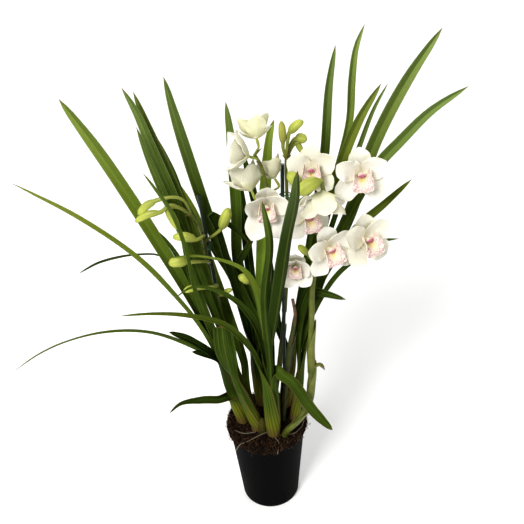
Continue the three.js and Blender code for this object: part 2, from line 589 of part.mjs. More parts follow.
// A twist tie: an oval loop of wire round a stake and a stem
function tie({ middle, reach, depth, turn, level }) {
  return solidOf(new THREE.TorusGeometry(reach, 0.8, 4, 12).scale(1, depth / reach, 1)
    .rotateZ(radians(turn)).translate(middle[0], middle[1], level));
}

const STAKES = {
  stake_middle: { foot: [30, 12, MIX_TOP - ROOT_DEPTH], top: [44, 30, 649] },
  stake_left: { foot: [-44, 28, MIX_TOP - ROOT_DEPTH], top: [-77, 35, 604] },
};
const TIES = {
  tie_middle: { middle: [46, 28.5], reach: 7.6, depth: 4.4, turn: 0, level: 600 },
  tie_left: { middle: [-73.4, 28.9], reach: 11.2, depth: 6.6, turn: 66, level: 519 },
};

const plant = new THREE.Group();

// Adds one sub-part to the plant
function add(name, body, material) {
  const { vertProperties, triVerts } = body.getMesh();
  const geometry = new THREE.BufferGeometry();
  geometry.setAttribute('position', new THREE.BufferAttribute(new Float32Array(vertProperties), 3));
  geometry.setIndex(new THREE.BufferAttribute(new Uint32Array(triVerts), 1));
  const mesh = new THREE.Mesh(geometry, material);
  mesh.name = name;
  plant.add(mesh);
}

const holes = [
  ...Object.values(GROWTHS).map(({ foot, radius }) => holeFor(foot, radius * 0.8 + GAP, BULB_SIDES)),
  ...Object.values(SPIKES).map(({ foot, radii }) => holeFor(foot, radii[0] + FOOT_PLAY, FOOT_SIDES)),
  ...Object.values(STAKES).map(stakeHole),
];
add('pot', potSolid(), potBlack);
add('potting_mix', mixSolid(holes), barkBrown);
for (const [name, parts] of Object.entries(GROWTHS)) add(`growth_${name}`, growth(parts), leafGreen);
for (const [name, parts] of Object.entries(SPIKES)) {
  add(name, spike(parts), name === 'old_spike' ? driedBrown : stemGreen);
}
for (const [name, { foot, top }] of Object.entries(STAKES)) add(name, stake(foot, top), stakeGreen);
for (const [name, parts] of Object.entries(TIES)) add(name, tie(parts), tieGreen);
for (const [name, bloom] of Object.entries(BLOOMS)) {
  add(name, tepals(bloom), petalCream);
  add(name.replace('bloom', 'lip'), lipAndColumn(bloom), lipBlush);
}

export default plant;
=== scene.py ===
# %% [markdown]
# # A potted orchid in flower
# A cymbidium stands in its deep black nursery pot, seen from above the rim. The frame holds a plain solid
# for the pot, the mix, each growth with its leaves, each flower spike, bloom, lip, stake and tie. This
# lesson builds a finer piece for each of them, in the same place, with the surface of the real one.

# %% Load the frame
import math

import bpy
import numpy as np
from mathutils import Matrix, Vector


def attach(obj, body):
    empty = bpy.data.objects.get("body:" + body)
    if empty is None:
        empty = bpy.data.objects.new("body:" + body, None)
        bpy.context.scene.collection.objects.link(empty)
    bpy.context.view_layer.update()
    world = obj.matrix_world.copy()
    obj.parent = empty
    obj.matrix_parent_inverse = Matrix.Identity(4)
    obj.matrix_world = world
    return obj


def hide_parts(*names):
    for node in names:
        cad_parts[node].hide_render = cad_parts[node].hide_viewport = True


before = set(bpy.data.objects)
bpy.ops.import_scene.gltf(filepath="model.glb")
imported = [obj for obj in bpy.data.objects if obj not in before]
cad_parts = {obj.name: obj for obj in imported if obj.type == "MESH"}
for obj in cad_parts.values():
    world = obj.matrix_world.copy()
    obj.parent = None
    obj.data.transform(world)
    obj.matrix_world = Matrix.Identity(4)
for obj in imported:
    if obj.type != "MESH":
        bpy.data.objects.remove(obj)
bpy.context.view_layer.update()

print("nodes in the frame:", len(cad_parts))

# %% [markdown]
# ## Camera, floor and light
# The camera stands where the photographer stood: in front of the plant, above it, looking down at it. Its
# place and angle were found by fitting the pot's rim and base, so they are plain numbers here, in metres
# and degrees. Large soft lights from the left, the right and behind, all from above, keep the shadows weak,
# as on a white studio sweep.

# %% A helper that adds an object
def linked(name, data):
    """A new object in the scene."""
    thing = bpy.data.objects.new(name, data)
    bpy.context.scene.collection.objects.link(thing)
    return thing


# %% Camera
PHOTO_SIDE, FOCAL_PIXELS, SENSOR, VIEW_END = 524, 931.8, 36.0, 50
CAMERA_PLACE = (0.0051, -1.0805, 1.3326)
PITCH, YAW, ROLL = (math.radians(angle) for angle in (37.53, 0.137, -3.44))

ahead = Vector((math.sin(YAW) * math.cos(PITCH), math.cos(YAW) * math.cos(PITCH), -math.sin(PITCH)))
level = Vector((math.cos(YAW), -math.sin(YAW), 0))
upright = level.cross(ahead)
right = level * math.cos(ROLL) + upright * math.sin(ROLL)
above = upright * math.cos(ROLL) - level * math.sin(ROLL)

camera = linked("camera", bpy.data.cameras.new("camera"))
camera.data.sensor_width = SENSOR
camera.data.lens = FOCAL_PIXELS * SENSOR / PHOTO_SIDE
camera.data.clip_end = VIEW_END
camera.matrix_world = Matrix.Translation(CAMERA_PLACE) @ Matrix((right, above, -ahead)).transposed().to_4x4()
bpy.context.scene.camera = camera
bpy.context.scene.view_settings.view_transform = "Standard"
bpy.context.scene.view_settings.look = "Medium High Contrast"
print("lens, mm:", round(camera.data.lens, 1))

# %% Light
PLANT_MIDDLE = (0, 0, 0.45)
AIR_STRENGTH = 0.28


def soft_light(name, stand, side, power, tint=(1, 1, 1)):
    """A square soft light that looks from where it stands to the middle of the plant."""
    light = linked(name, bpy.data.lights.new(name, "AREA"))
    light.data.size = side
    light.data.energy = power
    light.data.color = tint
    light.location = stand
    light.rotation_euler = (Vector(PLANT_MIDDLE) - Vector(stand)).to_track_quat("-Z", "Y").to_euler()


soft_light("key_light", (-1.1, -1.7, 2.5), side=1.2, power=88, tint=(1, 0.99, 0.97))
soft_light("fill_light", (2.2, -1.6, 1.5), side=1.8, power=18, tint=(1, 1, 0.96))
soft_light("back_light", (0.4, 2.6, 3.2), side=2.4, power=76)

world = bpy.data.worlds.new("studio_air")
world.use_nodes = True
background = world.node_tree.nodes["Background"]
background.inputs["Color"].default_value = (1, 1, 1, 1)
background.inputs["Strength"].default_value = AIR_STRENGTH
bpy.context.scene.world = world
print("lights, W:", {light.name: light.energy for light in bpy.data.lights})

# %% [markdown]
# ## Numbers that the whole plant shares
# They repeat the driving dimensions of the CAD part, in millimetres, so that each finer piece lies where
# its solid does. One random generator makes the small differences from leaf to leaf and petal to petal. Its
# seed is fixed, so every run grows the same plant.

# %% Driving dimensions
MM = 0.001
# The pot
POT_HEIGHT, RIM_RADIUS, BASE_RADIUS, POT_WALL = 165, 65, 48.4, 1.8
FLOOR_RISE, DRAIN_COUNT, DRAIN_RADIUS, DRAIN_CIRCLE = 3, 6, 4.5, 31
# The mix, and the bulbs that stand in it
MIX_TOP, MIX_RELIEF, ROOT_DEPTH, FOOT_TOP, BULB_HEIGHT = 165, 2.5, 35, 172, 100
BULB_SHARES = (0.8, 0.8, 0.8, 0.92, 1, 1, 0.94, 0.82, 0.62)
# Stakes, flower stalks and leaves
STAKE_RADIUS, PEDICEL_RADIUS, FRONT_TURN = 2.8, 1.6, 58
NARROW, LEAF_THICK, EDGE_THICK = 10, 1.3, 0.8
# Blooms and lips
TEPAL_LENGTH, TEPAL_WIDTH, TEPAL_THICK, TEPAL_START, PETAL_AHEAD = 33, 26, 0.9, 2.8, 1.2
COLUMN_LENGTH, COLUMN_RADIUS, LIP_LENGTH, LIP_WIDTH = 13, 3.2, 28, 28
HUB_RADIUS, HUB_BACK, HUB_FRONT, GAP = 5.8, 3.5, 2.2, 0.3
PETAL_CUP, CUP_GAIN, FLAT_LIFT, SPLAY = 0.2, 0.004, (12, 22, 8), 42

chance = np.random.default_rng(seed=7)
FULL_TURN = 6.28
print("pot, mm:", POT_HEIGHT, "high,", 2 * RIM_RADIUS, "across")

# %% [markdown]
# ## Lofts
# Leaves, petals, stems and buds are all one idea: a ring of points that is carried along a path while its
# shape changes. A small class gathers such lofts into one mesh, with a UV map that runs across and along
# each of them, and with marks, which are numbers per point that a material reads. Every loft is closed, and
# its faces look outwards, as a solid's have to.

# %% Curves and lists
def smooth_path(points, per_span=24):
    """A centripetal curve through the points, as the CAD part draws it."""
    p = np.asarray(points, float)
    p = np.vstack([2 * p[0] - p[1], p, 2 * p[-1] - p[-2]])
    gaps = np.linalg.norm(np.diff(p, axis=0), axis=1) ** 0.5
    t = np.linspace(0, 1, per_span, endpoint=False)[:, None]
    spans = []
    for i in range(1, len(p) - 2):
        a, b, c = gaps[i - 1:i + 2]
        leave = ((p[i] - p[i - 1]) / a - (p[i + 1] - p[i - 1]) / (a + b) + (p[i + 1] - p[i]) / b) * b
        arrive = ((p[i + 1] - p[i]) / b - (p[i + 2] - p[i]) / (b + c) + (p[i + 2] - p[i + 1]) / c) * b
        square = 3 * (p[i + 1] - p[i]) - 2 * leave - arrive
        cube = 2 * (p[i] - p[i + 1]) + leave + arrive
        spans.append(p[i] + leave * t + square * t ** 2 + cube * t ** 3)
    return np.vstack(spans + [p[-2:-1]])


def spaced(path, shares):
    """Points at these shares of a path's length."""
    run = np.concatenate([[0], np.cumsum(np.linalg.norm(np.diff(path, axis=0), axis=1))])
    return np.stack([np.interp(np.asarray(shares) * run[-1], run, path[:, k]) for k in range(3)], axis=1)


def spread(values, t):
    """A smooth reading of a short list that is spread evenly from 0 to 1."""
    values = np.asarray(values, float)
    at = np.clip(np.asarray(t, float), 0, 1) * (len(values) - 1)
    i = np.minimum(at.astype(int), len(values) - 2)
    s = at - i
    before, here, there, after = (values[np.clip(i + k, 0, len(values) - 1)] for k in (-1, 0, 1, 2))
    leave, arrive = (there - before) / 2, (after - here) / 2
    return here + leave * s + (3 * (there - here) - 2 * leave - arrive) * s ** 2 + (
        2 * (here - there) + leave + arrive) * s ** 3


def unit(vectors):
    """The vectors at length 1."""
    vectors = np.asarray(vectors, float)
    return vectors / np.maximum(np.linalg.norm(vectors, axis=-1, keepdims=True), 1e-12)


def ease(low, high, x):
    """0 below low, 1 above high, and smooth between them."""
    s = np.clip((np.asarray(x, float) - low) / (high - low), 0, 1)
    return s * s * (3 - 2 * s)


# %% Which way a loft's faces look
def looks_inwards(points, quads, ends):
    """Whether a closed loft's faces look inwards, from the sign of the volume that they enclose."""
    a, b, c, d = (points[quads[:, n]] for n in range(4))
    volume = np.sum(np.cross(a, b) * c) + np.sum(np.cross(a, c) * d)
    for end in ends:
        middle = points[end].mean(axis=0)
        volume += np.sum(np.cross(middle, points[end]) * points[np.roll(end, -1)])
    return volume < 0


# %% The class that gathers lofts
class Piece:
    """Closed lofts in millimetres that become one mesh."""

    def __init__(self, *titles):
        self.points, self.faces, self.uvs = [], [], []
        self.marks = {title: [] for title in titles}
        self.size = 0

    def loft(self, rings, u=None, v=None, **marks):
        """Adds a loft: rows of rings, each a closed loop of points. A mark is given per point or per row."""
        rings = np.asarray(rings, float)
        rows, cols = rings.shape[:2]
        u = np.linspace(0, 1, cols + 1) if u is None else np.append(u, u[0])
        v = np.linspace(0, 1, rows) if v is None else v
        i, j = (a.ravel() for a in np.meshgrid(np.arange(rows - 1), np.arange(cols), indexing="ij"))
        k = (j + 1) % cols
        quads = np.stack([i * cols + j, i * cols + k, (i + 1) * cols + k, (i + 1) * cols + j], axis=1)
        corners = np.stack([np.stack([u[at_u], v[at_v]], axis=1)
                            for at_u, at_v in ((j, i), (j + 1, i), (j + 1, i + 1), (j, i + 1))], axis=1)
        first, last = np.arange(cols)[::-1], (rows - 1) * cols + np.arange(cols)
        flat = rings.reshape(-1, 3) - rings.mean(axis=(0, 1))
        turn = -1 if looks_inwards(flat, quads, (first, last)) else 1
        self.faces += [tuple(face) for face in (quads[:, ::turn] + self.size).tolist()]
        self.uvs += corners[:, ::turn].reshape(-1, 2).tolist()
        for end, level in ((first[::turn], v[0]), (last[::turn], v[-1])):
            self.faces.append(tuple((end + self.size).tolist()))
            self.uvs += [(u[n % cols], level) for n in end]
        self.points.append(rings.reshape(-1, 3))
        for title, kept in self.marks.items():
            value = np.asarray(marks.get(title, 0.0), float)
            value = value[:, None] if value.ndim == 1 else value
            kept.append(np.broadcast_to(value, (rows, cols)).ravel())
        self.size += rows * cols

    def mesh(self, name):
        """The lofts as a mesh in metres, still without UV map and marks."""
        mesh = bpy.data.meshes.new(name)
        mesh.from_pydata((np.vstack(self.points) * MM).tolist(), [], self.faces)
        return mesh

    def finish(self, name, material, nodes=()):
        """Makes the object that rides on the part and stands for its CAD nodes."""
        mesh = self.mesh(name)
        mesh.uv_layers.new(name="surface").data.foreach_set("uv", np.asarray(self.uvs, np.float32).ravel())
        for title, kept in self.marks.items():
            attribute = mesh.attributes.new(title, "FLOAT", "POINT")
            attribute.data.foreach_set("value", np.concatenate(kept).astype(np.float32))
        return set_in_place(name, mesh, material, nodes)


def set_in_place(name, mesh, material, nodes=(), crisp=50):
    """Links a finished mesh to the part. An edge sharper than crisp, in degrees, stays an edge."""
    mesh.materials.clear()
    mesh.materials.append(material)
    mesh.shade_smooth()
    mesh.set_sharp_from_angle(angle=math.radians(crisp))
    thing = linked(name, mesh)
    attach(thing, "root")
    if nodes:
        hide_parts(*nodes)
    print(name, "faces:", len(mesh.polygons))
    return thing


# %% Rings for stems and sheets
def tube_rings(path, radii, sides=12, ribs=0, rib_depth=0.0):
    """Rings round a path. The radii follow its points, and ribs run along it."""
    path = np.asarray(path, float)
    tangents = unit(np.gradient(path, axis=0))
    side = np.cross(tangents[0], (0, 1, 0) if abs(tangents[0][1]) < 0.9 else (1, 0, 0))
    angles = np.linspace(0, 2 * np.pi, sides, endpoint=False)
    swell = 1 - rib_depth * np.abs(np.cos(angles * ribs / 2))
    rings = []
    for centre, tangent, radius in zip(path, tangents, radii):
        side = unit(side - tangent * np.dot(side, tangent))
        other = np.cross(tangent, side)
        rings.append(centre + radius * swell[:, None] * (
            np.cos(angles)[:, None] * side + np.sin(angles)[:, None] * other))
    return np.array(rings)


def tube_along(points, radii, rows=24, sides=12, **ribs):
    """Rings round a smooth curve through points, with radii spread along it."""
    shares = np.linspace(0, 1, rows)
    return tube_rings(spaced(smooth_path(points), shares), spread(radii, shares), sides, **ribs)


def sheet_rings(front, depth):
    """Rings of a thin sheet: its front grid, and a back grid that lies depth behind it."""
    along = np.gradient(front, axis=0)
    across = np.gradient(front, axis=1)
    normal = unit(np.cross(along, across))
    back = front - normal * np.broadcast_to(depth, front.shape[:2])[..., None]
    return np.concatenate([front, back[:, ::-1]], axis=1)


def sheet_u(cols):
    """The u values of a sheet's ring: across the front, and back across the back."""
    return np.concatenate([np.linspace(0, 1, cols), np.linspace(1, 0, cols)])


def two_sides(front, back):
    """A mark with one grid of values for a sheet's front and one for its back."""
    return np.concatenate([front, back[:, ::-1]], axis=1)


def tapered(rows, least):
    """1 along the rows of a sheet, and less over the last three, down to least."""
    return np.clip((rows - 1 - np.arange(rows)) / 3, least, 1)[:, None]


# %% [markdown]
# ## Node groups that materials share
# Every skin of the plant has the same three things in its own measure: soft blotches, fine lines that run
# along it, and a grain too small to see one by one. Each is a node group, built once, that puts out only
# masks and heights; the shader itself stays in the material, where its plain numbers can be read.

# %% Helpers for node trees
def place(tree, kind, settings=None, **inputs):
    """Adds a node, with its settings, and with its inputs by name or number, as a value or a link."""
    node = tree.nodes.new(kind)
    for key, value in (settings or {}).items():
        setattr(node, key, value)
    for key, value in inputs.items():
        numbered = key[0] == "n" and key[1:].isdigit()
        socket = node.inputs[int(key[1:]) if numbered else key.replace("_", " ")]
        if isinstance(value, bpy.types.NodeSocket):
            tree.links.new(value, socket)
        else:
            socket.default_value = value
    return node


def maths(tree, operation, *values):
    """A Math node."""
    inputs = {f"n{i}": value for i, value in enumerate(values)}
    return place(tree, "ShaderNodeMath", {"operation": operation}, **inputs).outputs[0]


def times(tree, a, b):
    """The product of two values."""
    return maths(tree, "MULTIPLY", a, b)


def ramp(tree, value, low, high):
    """0 where value is at low, 1 at high."""
    return place(tree, "ShaderNodeMapRange", Value=value, From_Min=low, From_Max=high).outputs[0]


def mark(tree, name):
    """A mark of the piece."""
    return place(tree, "ShaderNodeAttribute", {"attribute_name": name}).outputs["Fac"]


def mixed(tree, share, a, b):
    """A Mix node for two colours, with this share of the second."""
    return place(tree, "ShaderNodeMix", {"data_type": "RGBA"}, n0=share, n6=a, n7=b).outputs[2]


def coated(tree, colour, coats):
    """A colour with coats of paint laid over it, one after another, each through its mask."""
    for mask, paint in coats:
        colour = mixed(tree, mask, colour, paint)
    return colour


# %% Helpers for node groups
def group(name, takes, gives):
    """A new shader group. It takes vectors, given as None, and numbers, and it gives numbers."""
    tree = bpy.data.node_groups.new(name, "ShaderNodeTree")
    for title, value in takes.items():
        kind = "NodeSocketVector" if value is None else "NodeSocketFloat"
        socket = tree.interface.new_socket(title, in_out="INPUT", socket_type=kind)
        if value is not None:
            socket.default_value = value
    for title in gives:
        tree.interface.new_socket(title, in_out="OUTPUT", socket_type="NodeSocketFloat")
    return tree, tree.nodes.new("NodeGroupInput").outputs, tree.nodes.new("NodeGroupOutput").inputs


def use(tree, shared, **inputs):
    """Places a node group in a material."""
    return place(tree, "ShaderNodeGroup", {"node_tree": shared}, **inputs).outputs


# %% Blotches, lines and grain
MIDRIB, MARGIN = (0.015, 0.07), (0.40, 0.49)

blotches, takes, gives = group("blotches", {"Vector": None, "Scale": 30.0, "Low": 0.35, "High": 0.65},
                               ["Mask"])
cloud = place(blotches, "ShaderNodeTexNoise", Vector=takes["Vector"], Scale=takes["Scale"], Detail=3.0)
blotches.links.new(ramp(blotches, cloud.outputs[0], takes["Low"], takes["High"]), gives["Mask"])

lines, takes, gives = group("lines_along", {"Vector": None, "Count": 14.0, "Waver": 0.3},
                            ["Height", "Middle", "Edge"])
across = place(lines, "ShaderNodeSeparateXYZ", Vector=takes["Vector"]).outputs["X"]
drift = place(lines, "ShaderNodeTexNoise", Vector=takes["Vector"], Scale=5.0, Detail=1.0).outputs[0]
phase = maths(lines, "ADD", times(lines, across, takes["Count"]), times(lines, drift, takes["Waver"]))
wave = maths(lines, "SINE", times(lines, phase, 2 * math.pi))
off_middle = maths(lines, "ABSOLUTE", maths(lines, "SUBTRACT", across, 0.5))
lines.links.new(maths(lines, "MULTIPLY_ADD", wave, 0.5, 0.5), gives["Height"])
lines.links.new(maths(lines, "SUBTRACT", 1.0, ramp(lines, off_middle, *MIDRIB)), gives["Middle"])
lines.links.new(ramp(lines, off_middle, *MARGIN), gives["Edge"])

grain, takes, gives = group("fine_grain", {"Vector": None, "Scale": 900.0}, ["Height"])
specks = place(grain, "ShaderNodeTexNoise", Vector=takes["Vector"], Scale=takes["Scale"], Detail=2.0)
grain.links.new(specks.outputs[0], gives["Height"])
print("shader groups:", [tree.name for tree in (blotches, lines, grain)])


# %% A blank material, and the shader's links
def skin(name, **plain):
    """A material whose Principled shader has these plain values, with its tree and two vectors."""
    material = bpy.data.materials.new(name)
    material.use_nodes = True
    tree = material.node_tree
    for key, value in plain.items():
        tree.nodes["Principled BSDF"].inputs[key.replace("_", " ")].default_value = value
    body = place(tree, "ShaderNodeTexCoord").outputs["Object"]
    surface = place(tree, "ShaderNodeUVMap", {"uv_map": "surface"}).outputs["UV"]
    return material, tree, body, surface


def dressed(material, colour, height, strength, depth, rough=None):
    """The material with a colour, a bump of some metres' depth and maybe a roughness on its shader."""
    tree = material.node_tree
    shader = tree.nodes["Principled BSDF"]
    bump = place(tree, "ShaderNodeBump", Strength=strength, Distance=depth, Height=height)
    tree.links.new(bump.outputs[0], shader.inputs["Normal"])
    tree.links.new(colour, shader.inputs["Base Color"])
    if rough:
        tree.links.new(rough, shader.inputs["Roughness"])
    return material


# %% [markdown]
# ## The leaf skin
# A strap leaf is dark green and waxy, with a pale midrib and many fine veins. Light and shade are painted on
# it: high up it is painted paler, with a painted sheen, a still paler midrib and painted highlights on its
# edges; low down its dark veins show most; and a blade that reaches sideways gets painted shade on its back
# half, high up. Near the bulb and on young tips it turns yellow-green, and an old sheath dries to brown.
# The loft's marks say where that is, and the UV map lets the veins follow each leaf however it bends.

# %% Leaf material
# LEAF_LIT is the lighter green of a leaf's own streaks and tone and of the light painted on it high up;
# LEAF_DARK is also the painted shade
LEAF_DARK, LEAF_LIT = (0.015, 0.030, 0.003, 1), (0.200, 0.290, 0.038, 1)
# LEAF_SHEEN_PAINT is a painted sheen, and the colour of the painted highlights along high edges
LEAF_SHEEN_PAINT, LEAF_RIB = (0.230, 0.290, 0.150, 1), (0.230, 0.300, 0.070, 1)
LEAF_UNDER, LEAF_PALE = (0.062, 0.088, 0.012, 1), (0.230, 0.235, 0.022, 1)
LEAF_DRY = (0.170, 0.100, 0.045, 1)
# Heights in metres between which light is painted on a leaf, brighter higher up, and a painted sheen
PAINTED_LIGHT_HEIGHTS, PAINTED_SHEEN_HEIGHTS = (0.34, 0.80), (0.60, 0.80)
# How much each thing, painted light too, lightens a leaf, and how thick each coat over its green is at most
STREAKS_LIGHTEN, CLOUDS_LIGHTEN, PAINTED_LIGHT_GAIN, PAINTED_LIGHT_POWER = 0.24, 0.10, 0.62, 2.2
PAINTED_SHEEN_COAT, UNDER_COAT, VEIN_COAT, PAINTED_SHADE_COAT, PAINTED_HIGHLIGHT_COAT = 0.42, 0.18, 0.55, 0.62, 0.3
RIB_COAT_LOW, RIB_COAT_PAINTED_LIGHT = 0.14, 0.18
LEAF_ROUGH, CLOUDS_ROUGHEN, UNDER_ROUGHER = 0.32, 0.14, 0.12


def leaf_skin():
    """Green with painted light, sheen, highlights and shade, finely veined, yellow-green or brown by the
    marks.
    """
    material, tree, body, surface = skin(
        "leaf_skin", Specular_IOR_Level=0.02, Subsurface_Weight=0.06, Subsurface_Scale=0.002,
        Subsurface_Radius=(0.4, 1.0, 0.15))
    stretched = place(tree, "ShaderNodeMapping", Vector=surface, Scale=(9, 1.6, 1)).outputs[0]
    streaks = use(tree, blotches, Vector=stretched, Scale=1.0)["Mask"]
    clouds = use(tree, blotches, Vector=body, Scale=16.0)["Mask"]
    veins = use(tree, lines, Vector=surface, Count=11.0)
    height = place(tree, "ShaderNodeSeparateXYZ", Vector=body).outputs["Z"]
    # Masks of the light and the sheen painted on by height
    painted_lit, painted_sheen = ramp(tree, height, *PAINTED_LIGHT_HEIGHTS), ramp(tree, height, *PAINTED_SHEEN_HEIGHTS)
    patches = maths(tree, "ADD", times(tree, streaks, STREAKS_LIGHTEN), times(tree, clouds, CLOUDS_LIGHTEN))
    # The light painted on with height, added to the leaf's own streaks, clouds and tone
    high = times(tree, maths(tree, "POWER", painted_lit, PAINTED_LIGHT_POWER), PAINTED_LIGHT_GAIN)
    light = maths(tree, "ADD", maths(tree, "ADD", patches, high), mark(tree, "tone"))
    # Dark veins that show most low down and fade as the painted light rises, and a midrib painted paler high
    # up
    low_veins = maths(tree, "SUBTRACT", VEIN_COAT, times(tree, painted_lit, VEIN_COAT))
    rib = maths(tree, "MULTIPLY_ADD", painted_lit, RIB_COAT_PAINTED_LIGHT, RIB_COAT_LOW)
    # From dark to lit green by the leaf's own patches and tone and by the painted light, then the coats
    colour = coated(tree, mixed(tree, light, LEAF_DARK, LEAF_LIT), [
        # Painted sheen over the high parts
        (times(tree, painted_sheen, PAINTED_SHEEN_COAT), LEAF_SHEEN_PAINT),
        (times(tree, mark(tree, "under"), UNDER_COAT), LEAF_UNDER),
        (mark(tree, "pale"), LEAF_PALE),
        (times(tree, veins["Height"], low_veins), LEAF_DARK),
        # Painted shade on the back half of high blades
        (times(tree, mark(tree, "shaded"), times(tree, painted_lit, PAINTED_SHADE_COAT)), LEAF_DARK),
        (times(tree, veins["Middle"], rib), LEAF_RIB),
        # Painted highlights along the edges, high up
        (times(tree, veins["Edge"], times(tree, painted_lit, PAINTED_HIGHLIGHT_COAT)), LEAF_SHEEN_PAINT),
        (mark(tree, "dry"), LEAF_DRY),
    ])
    rough = maths(tree, "MULTIPLY_ADD", clouds, CLOUDS_ROUGHEN, LEAF_ROUGH)
    rough = maths(tree, "MULTIPLY_ADD", mark(tree, "under"), UNDER_ROUGHER, rough)
    return dressed(material, colour, veins["Height"], 0.4, 0.0004, rough)


# %% [markdown]
# ## Growths
# A growth is a swollen bulb wrapped in the bases of its leaves. Each base clasps the bulb like a sleeve and
# opens upwards into the folded strap, so sleeve and strap are one skin. The loft therefore starts as an arc
# round the bulb, and eases into the V section of the leaf within a hand's breadth. Each leaf has a heading
# in degrees, a width, and a path of steps: how far out, how high and, if it sways, how far to the side.
# Twist and fold are angles along it, and shape is its width along it. Tone makes it lighter, or darker where
# it is below 0, and tip makes its end paler.

